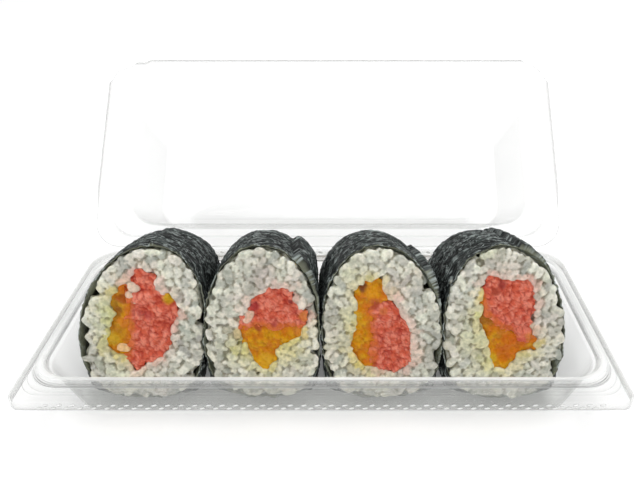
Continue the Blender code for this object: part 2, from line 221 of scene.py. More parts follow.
# Tray
# One thin sheet of clear plastic, vacuum-formed: a turned-down skirt, a flat flange, a raised rim that
# the lid's step grips, a lock ledge, fluted sloping walls and a flat floor, with a knurled outer edge.
BASE_WIDTH = 201.6 * MM
BASE_DEPTH = 89 * MM
SHEET = 0.4 * MM
CORNER_STEPS = 12
LONG_SPANS = 112
SHORT_SPANS = 44
BEND_REACH = 0.5 * MM
BEND_STEPS = 3
TAB_RADIUS = 4.5 * MM
SIDE_SHIFT = 2.4 * MM
EDGE_INSET = 1.0 * MM
EDGE_EASE = 5.2 * MM
BASE_PROFILE = (
    # inset, height and corner radius in millimetres, from the edge to the floor
    (0.5, 17.6, 11), (0.6, 20.8, 11), (1.0, 21.1, 11), (3.5, 21.1, 11), (3.8, 21.32, 11), (4.1, 21.1, 11),
    (4.7, 21.1, 11), (5.0, 21.32, 11), (5.3, 21.1, 11), (6.2, 21.1, 11), (7.3, 23.7, 12), (7.8, 24.1, 12),
    (8.6, 24.1, 12), (9.2, 23.5, 12), (9.9, 21.3, 12), (10.8, 20.8, 12), (15.6, 1.6, 10),
    (16.4, 0.8, 9.5), (17.8, 0.5, 9),
)
FLUTE_PITCH = 9 * MM
FLUTE_DEPTH = 0.9 * MM
FLUTE_TOP = 19.5 * MM
FLUTE_FOOT = 3.5 * MM
FLUTE_INSET = 10 * MM
FLUTE_WAVE = (2.2, 0.9)
FLUTE_FADE_FOOT = 3 * MM
FLUTE_FADE_TOP = 2 * MM
FLUTE_FADE_END = 3
KNURL_PITCH = 2.15 * MM
KNURL_STAGGER = 1.3 * MM
KNURL_LENGTH = 2.0 * MM
KNURL_WIDTH = 0.85 * MM
KNURL_RISE = 0.9 * MM
KNURL_INSET = 0.54 * MM
# Painted highlight on the knurls' proud faces: where it starts and is full across the tray, and its
# strength.
KNURL_WHITE = (44.03 * MM, 44.10 * MM, 0.7)
# Colour of the painted shade under the knurls and along the rim's dark lines.
KNURL_SHADE = (0.12, 0.12, 0.115)
KNURL_HEIGHT = 18.5 * MM
KNURL_SLANT = math.radians(76)
KNURL_CORNER = 10.6 * MM
CLEAR_TINT = (0.982, 0.983, 0.98)
# Grey of the sheet's haze, and of the painted shade for its dark edges where it turns away.
CLEAR_BODY = (0.52, 0.53, 0.52)
# Near white of the whitened rim and of the painted highlights on its bends and on the knurls.
CLEAR_BENT = (0.95, 0.96, 0.95)
CLEAR_ROUGHNESS = 0.08
CLEAR_HAZE = 0.045
CLEAR_EDGE = 0.60
CLEAR_EDGE_POWER = 2.6
# Soft edge of the greyer oval patch, in its squared reach from the middle.
MIST_EDGE = (1.04, 0.96)
RIM_FOOT = 21.35 * MM
RIM_BLUR = 0.1 * MM
RIM_TOP = 23.75 * MM
# The rim is whitened above its foot, partly as stressed plastic whitens and partly as a painted reflection;
# its top and foot bends get painted highlight lines.
RIM_WHITENING = 0.13
BEND_WHITENING = 0.32
# Painted shade: dark lines round the rim's slopes at these heights, and how dark and wide they are.
RIM_LINES = (21.7 * MM, 22.4 * MM)
RIM_LINE_SHADE = 0.3
RIM_LINE_REACH = (0.14 * MM, 0.06 * MM)


def clear_sheet(name, tint, haze, edge, rim=0.0, mist=None):
    """Clear formed plastic: see-through face on, grey where it turns away (its haze, and painted shade for
    its dark edges), and, when asked for, a whitened rim with painted highlights and painted shade lines, and
    a greyer oval patch.
    """
    material, nodes = new_finish(name)
    facing = nodes.add("ShaderNodeLayerWeight", None, {"Blend": 0.5}, "Facing")
    place = nodes.add("ShaderNodeTexCoord", None, None, "Object")
    cloud = nodes.cloud(place, 60.0, 2.0)
    wave = nodes.cloud(place, 35.0, 1.0)
    ripple = nodes.add("ShaderNodeBump", None, {"Strength": 0.12, "Distance": 0.002, "Height": wave})
    # Painted shade: the grey body shows more where the sheet turns away, over its even haze.
    shows = facing ** CLEAR_EDGE_POWER * edge + haze
    colour = CLEAR_BODY
    # A greyer oval patch, when asked for.
    if mist:
        middle, half_width, half_height, strength = mist
        across = nodes.part(place, 0) * (1 / half_width)
        up = (nodes.part(place, 2) - middle) * (1 / half_height)
        shows = shows + nodes.spread(across * across + up * up, *MIST_EDGE) * strength
    if rim:
        height = nodes.part(place, 2)
        # The rim whitened above its foot, partly stressed plastic and partly painted reflection, with
        # painted highlight lines at its top and foot bends.
        white = nodes.spread(height, RIM_FOOT - RIM_BLUR, RIM_FOOT + RIM_BLUR)
        top = nodes.spread(height, RIM_TOP, RIM_TOP + 2 * RIM_BLUR)
        across = nodes.part(place, 1)
        # Painted highlight on the knurls' proud faces.
        proud = nodes.spread(across.math("ABSOLUTE", across), KNURL_WHITE[0], KNURL_WHITE[1])
        foot = white * (1 - nodes.spread(height, RIM_FOOT + 3 * RIM_BLUR, RIM_FOOT + 5 * RIM_BLUR))
        shows = shows + white * RIM_WHITENING + (top + foot) * BEND_WHITENING + proud * KNURL_WHITE[2]
        faces = nodes.add("ShaderNodeTexCoord", None, None, "Normal")
        # Painted shade under the knurls and in dark lines round the rim's slopes.
        lines = nodes.spread(nodes.part(faces, 2), 0.0, -0.3) * proud
        for middle in RIM_LINES:
            line = nodes.spread((height - middle).math("ABSOLUTE", height - middle), *RIM_LINE_REACH)
            lines = lines + line
            shows = shows + line * RIM_LINE_SHADE
        colour = nodes.mix(lines, nodes.mix(white + proud, CLEAR_BODY, CLEAR_BENT), KNURL_SHADE)
    body = nodes.add("ShaderNodeBsdfPrincipled", None, {
        "Base Color": colour,
        "Roughness": cloud * 0.06 + (CLEAR_ROUGHNESS - 0.03),
        "Specular IOR Level": 0.8,
        "Normal": ripple,
    })
    through = nodes.add("ShaderNodeBsdfTransparent", None, {"Color": tint})
    surface(nodes, nodes.add("ShaderNodeMixShader", None, {0: shows, 1: through, 2: body}))
    return material


def offset_line(points, distance):
    """Move an open line of (inset, height) points to its right-hand side, with mitred corners."""
    normals = []
    for (x0, z0), (x1, z1) in zip(points, points[1:]):
        length = math.hypot(x1 - x0, z1 - z0)
        normals.append(((z1 - z0) / length, -(x1 - x0) / length))
    moved = []
    for i, (x, z) in enumerate(points):
        before = normals[max(i - 1, 0)]
        after = normals[min(i, len(normals) - 1)]
        share = distance / (1 + before[0] * after[0] + before[1] * after[1])
        moved.append((x + share * (before[0] + after[0]), z + share * (before[1] + after[1])))
    return moved


def rounded_line(points, reach, steps):
    """An open line with each of its corners rounded."""
    line = [np.array(point, float) for point in points]
    made = [line[0]]
    for before, corner, after in zip(line, line[1:], line[2:]):
        back = before - corner
        ahead = after - corner
        cut = min(reach, 0.45 * np.linalg.norm(back[:2]), 0.45 * np.linalg.norm(ahead[:2]))
        start = corner + back * cut / np.linalg.norm(back[:2])
        end = corner + ahead * cut / np.linalg.norm(ahead[:2])
        for step in range(steps + 1):
            t = step / steps
            made.append(start * (1 - t) ** 2 + corner * 2 * t * (1 - t) + end * t * t)
    made.append(line[-1])
    return np.array(made)


def smooth_step(value):
    """Ease from 0 to 1."""
    value = np.clip(value, 0, 1)
    return value * value * (3 - 2 * value)


def ring(width, depth, inset, radius, side_shift, front_radius):
    """Points round a rectangle with round corners, with the way out and the side each point is on.

    Away from the edge the sides are moved out by side_shift, and at the edge the front corners have
    their own radius.
    """
    inner = smooth_step((inset - EDGE_INSET) / EDGE_EASE)
    half_x = width / 2 - inset + side_shift * inner
    half_y = depth / 2 - inset
    front = front_radius + (radius - front_radius) * inner
    corners = []
    for side_x, side_y, start, bend in ((1, -1, -90, front), (1, 1, 0, radius), (-1, 1, 90, radius),
                                        (-1, -1, 180, front)):
        corners.append((side_x * (half_x - bend), side_y * (half_y - bend), start, bend))
    points, ways, straight = [], [], []
    for i, (x, y, start, bend) in enumerate(corners):
        for step in range(CORNER_STEPS + 1):
            angle = math.radians(start + 90 * step / CORNER_STEPS)
            way = (math.cos(angle), math.sin(angle))
            points.append((x + bend * way[0], y + bend * way[1]))
            ways.append(way)
            straight.append(0)
        next_x, next_y, _, next_bend = corners[(i + 1) % 4]
        end = (next_x + next_bend * way[0], next_y + next_bend * way[1])
        begin = points[-1]
        spans = SHORT_SPANS if i % 2 == 0 else LONG_SPANS
        for step in range(1, spans):
            share = step / spans
            points.append((begin[0] + (end[0] - begin[0]) * share, begin[1] + (end[1] - begin[1]) * share))
            ways.append(way)
            straight.append(min(share, 1 - share) * spans)
    return np.array(points), np.array(ways), np.array(straight)


def formed_sheet(name, width, depth, profile, material, shape, side_shift, front_radius):
    """A closed thin sheet: upper side from the middle out to the edge, then underneath back in."""
    line = rounded_line(np.array(profile) * MM, BEND_REACH, BEND_STEPS)
    upper = [tuple(point[:2]) for point in line]
    lower = offset_line(upper, SHEET)
    radii = list(line[:, 2])
    points = []
    rows = 0
    for side, side_radii in ((upper[::-1], radii[::-1]), (lower, radii)):
        for (inset, height), radius in zip(side, side_radii):
            front = radius if front_radius is None else front_radius
            flat, ways, straight = ring(width, depth, inset, radius, side_shift, front)
            points.append(shape(flat, ways, straight, height, inset))
            rows += 1
    count = len(points[0])
    faces = []
    for row in range(rows - 1):
        for i in range(count):
            j = (i + 1) % count
            faces.append((row * count + i, (row + 1) * count + i, (row + 1) * count + j, row * count + j))
    faces.append(tuple(range(count)))
    faces.append(tuple(reversed(range((rows - 1) * count, rows * count))))
    return new_object(name, np.concatenate(points), faces, material)


def fluted(flat, ways, straight, height, inset):
    """The tray's sheet, its walls pressed out into broad upright flutes."""
    along = np.where(np.abs(ways[:, 0]) > 0.5, flat[:, 1], flat[:, 0])
    wave = np.cos(2 * math.pi * along / FLUTE_PITCH)
    wave = np.clip(wave * FLUTE_WAVE[0] + FLUTE_WAVE[1], 0, 1)
    window = smooth_step((height - FLUTE_FOOT) / FLUTE_FADE_FOOT)
    window = window * smooth_step((FLUTE_TOP - height) / FLUTE_FADE_TOP)
    push = FLUTE_DEPTH * smooth_step(wave) * window * smooth_step(straight / FLUTE_FADE_END)
    push = push * (inset > FLUTE_INSET)
    moved = flat + ways * push[:, None]
    return np.column_stack((moved, np.full(len(moved), height)))


def tree_with_inputs(name, inputs):
    """The nodes of an empty geometry tree with named inputs, and a way to its inputs."""
    tree = bpy.data.node_groups.new(name, "GeometryNodeTree")
    tree.interface.new_socket("Geometry", in_out="INPUT", socket_type="NodeSocketGeometry")
    for key, value in inputs.items():
        kind = "NodeSocketInt" if isinstance(value, int) else "NodeSocketFloat"
        socket = tree.interface.new_socket(key, in_out="INPUT", socket_type=kind)
        socket.default_value = value
    tree.interface.new_socket("Geometry", in_out="OUTPUT", socket_type="NodeSocketGeometry")
    nodes = Nodes(tree)
    source = tree.nodes.new("NodeGroupInput")
    return nodes, lambda key: Socket(nodes, source.outputs[key])


def run_tree(piece, tree, values):
    """Put a geometry tree on a piece with its inputs' values, and keep the result as a plain mesh."""
    modifier = piece.modifiers.new(tree.name, "NODES")
    modifier.node_group = tree
    for item in tree.interface.items_tree:
        if item.in_out == "INPUT" and item.name in values:
            modifier[item.identifier] = values[item.name]
    depsgraph = bpy.context.evaluated_depsgraph_get()
    mesh = bpy.data.meshes.new_from_object(
        piece.evaluated_get(depsgraph), preserve_all_data_layers=True, depsgraph=depsgraph)
    piece.modifiers.clear()
    piece.data = mesh
    return piece


def joined(nodes, *parts):
    """Parts of a geometry tree joined, with their instances made real."""
    join = nodes.tree.nodes.new("GeometryNodeJoinGeometry")
    for part in parts:
        nodes.tree.links.new(part.link, join.inputs[0])
    return nodes.add("GeometryNodeRealizeInstances", None, {"Geometry": Socket(nodes, join.outputs[0])})


def finished_tree(nodes, whole, material):
    """Set the material on the whole and end the tree."""
    whole = nodes.add("GeometryNodeSetMaterial", None, {"Geometry": whole, "Material": material})
    out = nodes.tree.nodes.new("NodeGroupOutput")
    nodes.tree.links.new(whole.link, out.inputs[0])
    return nodes.tree


def knurl_tree(material):
    """Short slanted ridges along a sheet's front and rear edges, joined to the sheet."""
    nodes, given = tree_with_inputs("knurled_edge", {
        "Path Width": 0.2, "Path Depth": 0.1, "Corner": 0.01, "Height": 0.02, "Pitch": 0.002,
        "Length": 0.003, "Width": 0.001, "Rise": 0.0005, "Slant": 0.5, "Stagger": 0.001,
    })
    path = nodes.add("GeometryNodeCurvePrimitiveQuadrilateral", None,
                     {"Width": given("Path Width"), "Height": given("Path Depth")})
    path = nodes.add("GeometryNodeFilletCurve", {"mode": "POLY"},
                     {"Curve": path, "Radius": given("Corner"), "Count": 8})
    path = nodes.add("GeometryNodeResampleCurve", {"mode": "LENGTH"},
                     {"Curve": path, "Length": given("Pitch")})
    tangent = nodes.add("GeometryNodeInputTangent")
    turn = nodes.add("FunctionNodeAlignRotationToVector", {"axis": "X", "pivot_axis": "Z"},
                     {"Vector": tangent})
    slant = nodes.add("ShaderNodeCombineXYZ", None, {"Y": given("Slant")})
    slant = nodes.add("FunctionNodeEulerToRotation", None, {"Euler": slant})
    turn = nodes.add("FunctionNodeRotateRotation", {"rotation_space": "LOCAL"},
                     {"Rotation": turn, "Rotate By": slant})
    size = nodes.add("ShaderNodeCombineXYZ", None,
                     {"X": given("Width"), "Y": given("Rise"), "Z": given("Length")})
    ridge = nodes.add("GeometryNodeMeshIcoSphere", None, {"Radius": 0.5, "Subdivisions": 2})
    across = nodes.part(nodes.add("GeometryNodeInputPosition"), 1)
    reach = across.math("ABSOLUTE", across)
    on_long_side = across.math("GREATER_THAN", reach, given("Path Depth") * 0.4995)
    ridges = nodes.add("GeometryNodeInstanceOnPoints", None, {
        "Points": path, "Selection": on_long_side, "Instance": ridge, "Rotation": turn, "Scale": size,
    })
    index = nodes.add("GeometryNodeInputIndex")
    upper_row = index.math("MODULO", index, 2)
    lift = nodes.add("ShaderNodeCombineXYZ", None, {"Z": given("Height") + upper_row * given("Stagger")})
    ridges = nodes.add("GeometryNodeTranslateInstances", {},
                       {"Instances": ridges, "Translation": lift, "Local Space": False})
    ridges = nodes.add("GeometryNodeSetShadeSmooth", None, {"Geometry": ridges, "Shade Smooth": True})
    return finished_tree(nodes, joined(nodes, ridges, given("Geometry")), material)


tray_clear = clear_sheet("clear_tray_sheet", CLEAR_TINT, CLEAR_HAZE, CLEAR_EDGE, 1.0)
tray = formed_sheet("tray_sheet", BASE_WIDTH, BASE_DEPTH, BASE_PROFILE, tray_clear, fluted, SIDE_SHIFT,
                    TAB_RADIUS)
knurls = knurl_tree(tray_clear)
run_tree(tray, knurls, {
    "Path Width": BASE_WIDTH - 2 * KNURL_INSET, "Path Depth": BASE_DEPTH - 2 * KNURL_INSET,
    "Corner": KNURL_CORNER, "Height": KNURL_HEIGHT, "Pitch": KNURL_PITCH, "Length": KNURL_LENGTH,
    "Width": KNURL_WIDTH, "Rise": KNURL_RISE, "Slant": KNURL_SLANT, "Stagger": KNURL_STAGGER,
})
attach(tray, "tray")
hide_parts("tray_base")

# Lid
# The lid is formed from the same sheet as the tray: a short skirt, a flange, a step that grips the
# tray's rim, deep sloping walls and a raised panel. It leans back, open, on the hinge line.
LID_WIDTH = 205.4 * MM
LID_DEPTH = 90.8 * MM
LID_OPEN = math.radians(137)
HINGE_LINE = (45.2 * MM, 21.3 * MM)
HINGE_GAP = 0.5 * MM
LID_PROFILE = (
    # inset, height and corner radius in millimetres as the lid lies shut, from the edge to the panel
    (0, -2.4, 12), (0.3, 0.5, 12), (0.7, 0.8, 12), (4.9, 0.8, 12), (5.7, 4.0, 12), (6.2, 4.5, 12),
    (11.2, 4.9, 12), (12, 5.6, 12), (18, 34.6, 12), (18.8, 36.0, 12), (20.4, 36.8, 12), (23.4, 36.8, 12),
    (24.6, 37.8, 12),
)
SKIRT_FADE_START = 16 * MM
SKIRT_FADE_LENGTH = 12 * MM
SKIRT_FADE_CORNER = 3 * MM
SKIRT_LIFTED = 0.15 * MM
LID_CORNER = 12 * MM
LIP_NOTCH_END = -86.5 * MM
LIP_NOTCH_DEPTH = 1.5 * MM
LIP_NOTCH_REACH = 4 * MM
LIP_NOTCH_FADE = 2 * MM
LID_TINT = (0.994, 0.995, 0.994)
LID_HAZE = 0.03
LID_EDGE = 0.6
# A greyer oval patch on the lid's panel: its middle height, half width, half height and strength.
LID_MIST = (11.0 * MM, 70 * MM, 8.8 * MM, 0.07)


def opened(flat, heights):
    """Points of the shut lid, about its own middle, turned open about the hinge line."""
    back = flat[:, 1] - LID_DEPTH / 2 - HINGE_GAP
    cos, sin = math.cos(-LID_OPEN), math.sin(-LID_OPEN)
    y = HINGE_LINE[0] + back * cos - heights * sin
    z = HINGE_LINE[1] + back * sin + heights * cos
    return np.column_stack((flat[:, 0], y, z))


def lid_shape(flat, ways, straight, height, inset):
    """The lid's sheet: its skirt fades out by the hinge and over the tray's tabs; its lip is notched."""
    heights = np.full(len(flat), float(height))
    if height <= 0:
        hinge = (flat[:, 1] - LID_DEPTH / 2 + SKIRT_FADE_START + SKIRT_FADE_LENGTH) / SKIRT_FADE_LENGTH
        past_x = np.abs(flat[:, 0]) - LID_WIDTH / 2 + LID_CORNER
        past_y = -flat[:, 1] - LID_DEPTH / 2 + LID_CORNER
        tab = np.minimum(past_x, past_y) / SKIRT_FADE_CORNER
        heights = heights + smooth_step(np.maximum(hinge, tab)) * (SKIRT_LIFTED - heights)
    front = smooth_step((-flat[:, 1] - LID_DEPTH / 2 + LIP_NOTCH_REACH) / LIP_NOTCH_FADE)
    notch = (1 - smooth_step((flat[:, 0] - LIP_NOTCH_END) / LIP_NOTCH_FADE)) * front
    moved = flat.copy()
    moved[:, 1] += LIP_NOTCH_DEPTH * notch
    return opened(moved, heights)


lid_clear = clear_sheet("clear_lid_sheet", LID_TINT, LID_HAZE, LID_EDGE, 0.0, LID_MIST)
lid = formed_sheet("lid_sheet", LID_WIDTH, LID_DEPTH, LID_PROFILE, lid_clear, lid_shape, 0, None)
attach(lid, "lid")
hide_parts("tray_lid")

# Hinge film
# The tray and the lid are one sheet: between the tray's rear edge and the lid's edge it is scored and
# thinned to a strip that folds when the lid is turned.
FILM_HALF_WIDTH = 86 * MM
FILM_THICKNESS = 0.2 * MM
FILM_STEPS = 8
FILM_LINE = ((44.1, 21.05), (44.9, 21.15), (45.5, 21.3), (46.2, 21.9))
FILM_BEADS = 60
FILM_BEND_REACH = 0.4 * MM


def wall(spans, count, start=0, turned=False):
    """Faces between rows of points that close round, or turned to face the other way."""
    faces = []
    for row in range(spans):
        for i in range(count):
            a = start + row * count + i
            b = start + row * count + (i + 1) % count
            faces.append((b, a, a + count, b + count) if turned else (a, b, b + count, a + count))
    return faces


def closed_tube(spans, count):
    """Faces of a tube of rows of points, with both of its ends closed."""
    ends = [tuple(reversed(range(count))), tuple(range(spans * count, (spans + 1) * count))]
    return wall(spans, count) + ends


film_middle = rounded_line([(y * MM, z * MM, 0) for y, z in FILM_LINE], FILM_BEND_REACH, FILM_STEPS)[:, :2]
film_under = offset_line([tuple(point) for point in film_middle], FILM_THICKNESS)
film_loop = [tuple(point) for point in film_middle[::-1]] + film_under
film_points = []
for bead in range(FILM_BEADS + 1):
    x = FILM_HALF_WIDTH * (2 * bead / FILM_BEADS - 1)
    film_points += [(x, y, z) for y, z in film_loop]
film_clear = clear_sheet("hinge_film_sheet", LID_TINT, LID_HAZE, LID_EDGE)
film = new_object("hinge_film", film_points, closed_tube(FILM_BEADS, len(film_loop)), film_clear)
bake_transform(film)

# Fish
# Each roll's main filling is coral-pink minced fish, seasoned and pressed into a strand that runs
# through the rice. The knife leaves it crumbly, its gaps and low spots painted dark red as shade.
ROLL_LENGTH = 36.0
ROLL_HEIGHT = 55.4
LEAN_BACK = math.radians(17)
FACE_PLACE = (-26.5, 4.1)
REAR_NARROWING = 0.06
REAR_FOOT_RISE = 7.8
REAR_TOP_DROP = 1.0
REAR_END_DROP = 3.0
FILLING_GAP = 0.35
SEAM_OVERLAP = 0.15
EDGE_ROUGHNESS = 1.3
FILLING_VOXEL = 0.4
FILLING_STATIONS = 6
SAME_POINT = 0.1
ROLLS = {
    # middle, half width, sideways lean and sideways shift of the rear end, in millimetres
    1: (-62.8, 21.5, 6.0, -2.0),
    2: (-20.9, 20.0, 0.5, -2.3),
    3: (20.6, 20.7, -1.5, -3.2),
    4: (62.8, 21.0, -2.5, -3.6),
}
FISH_EDGES = {
    1: ((-5, 42), (-2, 45.5), (2.5, 47.5), (6.5, 46), (7.5, 41.5), (13, 37.5), (14, 31.5),
        (11, 26), (10, 20), (6.5, 15.5), (1.5, 13), (-2.5, 10), (-6, 16)),
    2: ((-8, 26.5), (-6.5, 30), (-4, 36), (1, 40), (5.5, 42), (10.5, 41), (12, 36),
        (16, 31.5), (14.5, 26.5)),
    3: ((1.5, 38.5), (5, 35), (8, 30.5), (10, 26), (10.5, 21), (9.5, 13.5), (4.5, 10.5),
        (-0.5, 10.5), (-4, 12)),
    4: ((-9, 38), (-8.5, 44), (-5, 46), (0.5, 44.5), (7.5, 44), (9.5, 36), (9, 28), (11, 22.5)),
}
SEAMS = {
    1: ((-6, 16), (-3.5, 22), (-4, 29), (-3, 36), (-5, 42)),
    2: ((14.5, 26.5), (9, 27.5), (4, 27), (-2, 27.5), (-8, 26.5)),
    3: ((-4, 12), (-3.5, 20), (-4, 28), (-4.5, 34.5), (-1.5, 37.5), (1.5, 38.5)),
    4: ((11, 22.5), (6, 22), (1, 25), (-5, 29), (-7.5, 33.5), (-9, 38)),
}
FISH_CORAL = (0.76, 0.140, 0.070)
FISH_PINK = (0.92, 0.31, 0.21)
# Darker red of the painted shade in the fish's gaps and low spots.
FISH_RED = (0.46, 0.030, 0.018)
SEAM_RED = (0.74, 0.18, 0.035)
SEAM_ORANGE = (0.72, 0.20, 0.010)
FISH_FLAKE = 2.5
FISH_RELIEF = 1.5
FISH_RECESS = 0.5
CUT_REACH = (0.2, 1.6)
FINE_FLAKE = 0.45
CRUMB_SEED = 7
SEAM_REACH = (0.6, 2.2)
SEAM_SHARE = 0.85
MARK_REACH = (0.6, 0.7)
FISH_MARKS = {
    # x, height, reach in millimetres, colour and strength of a patch on the cut face
    1: ((10.9, 37.8, 2.2, (0.72, 0.42, 0.01), 1.0), (0.6, 32.0, 1.3, (0.40, 0.03, 0.03), 0.6),
        (3.2, 31.6, 1.6, (0.46, 0.04, 0.04), 0.6),
        (11.3, 27.2, 1.2, (0.45, 0.04, 0.03), 0.8), (-4.0, 28.0, 2.0, (0.72, 0.22, 0.03), 0.8)),
    2: ((-2.1, 35.0, 1.8, (0.42, 0.03, 0.03), 0.9), (10.2, 36.3, 1.0, (0.30, 0.03, 0.03), 0.9),
        (4.4, 28.4, 1.2, (0.42, 0.04, 0.03), 0.8), (14.6, 31.0, 2.0, (0.75, 0.26, 0.05), 0.8)),
    3: ((-2.6, 35.0, 1.6, (0.42, 0.05, 0.02), 0.7), (0.0, 33.0, 1.5, (0.75, 0.22, 0.06), 0.7)),
    4: ((-2.2, 42.4, 1.6, (0.36, 0.03, 0.02), 0.9), (-4.3, 40.0, 1.6, (0.42, 0.05, 0.02), 0.8),
        (8.6, 23.7, 2.0, (0.75, 0.24, 0.04), 0.8), (5.7, 22.4, 1.6, (0.70, 0.10, 0.12), 0.6)),
}


def roll_points(number, local):
    """World points for an array of (x, height, distance along the roll) in millimetres."""
    share = local[:, 2] / ROLL_LENGTH
    foot = REAR_FOOT_RISE * share
    drop = REAR_TOP_DROP * share + REAR_END_DROP * share ** 4
    up = foot + local[:, 1] * (ROLL_HEIGHT - foot - drop) / ROLL_HEIGHT
    middle, _, _, shift = ROLLS[number]
    x = local[:, 0] * (1 - REAR_NARROWING * share) + middle + shift * share
    y = up * math.sin(LEAN_BACK) + local[:, 2] * math.cos(LEAN_BACK) + FACE_PLACE[0]
    z = up * math.cos(LEAN_BACK) - local[:, 2] * math.sin(LEAN_BACK) + FACE_PLACE[1]
    return np.column_stack((x, y, z)) * MM


def curve_through(points):
    """An open curve through points, with three more points along each span."""
    line = [np.array(point, float) for point in points]
    ends = [2 * line[0] - line[1]] + line + [2 * line[-1] - line[-2]]
    made = []
    for p0, p1, p2, p3 in zip(ends, ends[1:], ends[2:], ends[3:]):
        for t in (0, 0.25, 0.5, 0.75):
            made.append(0.5 * (2 * p1 + (p2 - p0) * t + (2 * p0 - 5 * p1 + 4 * p2 - p3) * t ** 2
                               + (3 * p1 - p0 - 3 * p2 + p3) * t ** 3))
    made.append(line[-1])
    return made


def grow(outline, distance):
    """Move a closed outline outwards by a distance, or inwards where it is negative."""
    outline = np.array(outline)
    ahead = np.roll(outline, -1, 0)
    area = np.sum(outline[:, 0] * ahead[:, 1] - ahead[:, 0] * outline[:, 1])
    after = ahead - outline
    after /= np.linalg.norm(after, axis=1)[:, None]
    before = np.roll(after, 1, 0)
    ways = np.column_stack((before[:, 1] + after[:, 1], -before[:, 0] - after[:, 0]))
    ways /= np.linalg.norm(ways, axis=1)[:, None]
    stretch = np.maximum(ways[:, 0] * after[:, 1] - ways[:, 1] * after[:, 0], 0.7)
    return outline + ways * (distance * math.copysign(1, area) / stretch)[:, None]


def even_outline(outline, count):
    """A closed outline with its points spaced evenly."""
    closed = np.vstack((outline, outline[:1]))
    lengths = np.concatenate(([0], np.cumsum(np.linalg.norm(np.diff(closed, axis=0), axis=1))))
    at = np.linspace(0, lengths[-1], count, endpoint=False)
    return np.column_stack([np.interp(at, lengths, closed[:, i]) for i in (0, 1)])


def rough_outline(outline, amount, seed):
    """A closed outline with even points, made uneven."""
    outline = even_outline(np.array(outline), max(int(len(outline) * 2.5), 60))
    ways = grow(outline, 1) - outline
    pushes = [noise.noise((x / 3.2, y / 3.2, seed)) + 0.5 * noise.noise((x / 1.3, y / 1.3, seed + 3))
              for x, y in outline]
    return outline + ways * (np.array(pushes) * amount)[:, None]


def filling_edges(number, edges, overlap, seed):
    """A filling's rough outline, and the seam where it lies against the other filling."""
    edge = curve_through(edges[number])
    seam = curve_through(SEAMS[number])
    if np.linalg.norm(edge[-1] - seam[0]) > SAME_POINT:
        seam = seam[::-1]
    return rough_outline(grow(edge[:-1] + seam[:-1], overlap), EDGE_ROUGHNESS, seed), seam


def remeshed(piece, size):
    """Give a piece small even faces all over."""
    remesh = piece.modifiers.new("remesh", "REMESH")
    remesh.mode = "VOXEL"
    remesh.voxel_size = size
    mesh = bpy.data.meshes.new_from_object(piece.evaluated_get(bpy.context.evaluated_depsgraph_get()))
    piece.modifiers.clear()
    piece.data = mesh
    return mesh


def strand(name, outline, start, end):
    """A closed strand in the roll's own space, remeshed into small even faces."""
    points = []
    for station in range(FILLING_STATIONS + 1):
        along = start + (end - start) * station / FILLING_STATIONS
        points += [(x, up, along) for x, up in outline]
    made = new_object(name, points, closed_tube(FILLING_STATIONS, len(outline)))
    remeshed(made, FILLING_VOXEL)
    return made


def read_points(mesh, key="co"):
    """A mesh's points, or their normals, as an array."""
    values = np.empty(len(mesh.vertices) * 3)
    mesh.vertices.foreach_get(key, values)
    return values.reshape(-1, 3)


def blended(colours, other, share):
    """Colours with a share of another mixed in at each point."""
    share = share.reshape(-1, 1)
    return np.array(colours) * (1 - share) + np.array(other) * share


def paint(mesh, name, colours):
    """Give a mesh a colour at each of its points."""
    layer = mesh.attributes.new(name, "FLOAT_COLOR", "POINT")
    layer.data.foreach_set("color", np.column_stack((colours, np.ones(len(colours)))).ravel())


def flakes(points, size, seed):
    """For each point, how far it is up a flake, and how near a gap between two flakes."""
    up, gap = [], []
    for x, y, z in points / size:
        bent = noise.noise_vector((x * 1.1 + seed, y * 1.1, z * 1.1)) * 0.55
        near = noise.voronoi((x + seed + bent.x, y + bent.y, z + bent.z))[0]
        up.append(0.55 - near[0])
        gap.append(near[1] - near[0])
    return np.array(up), np.array(gap)


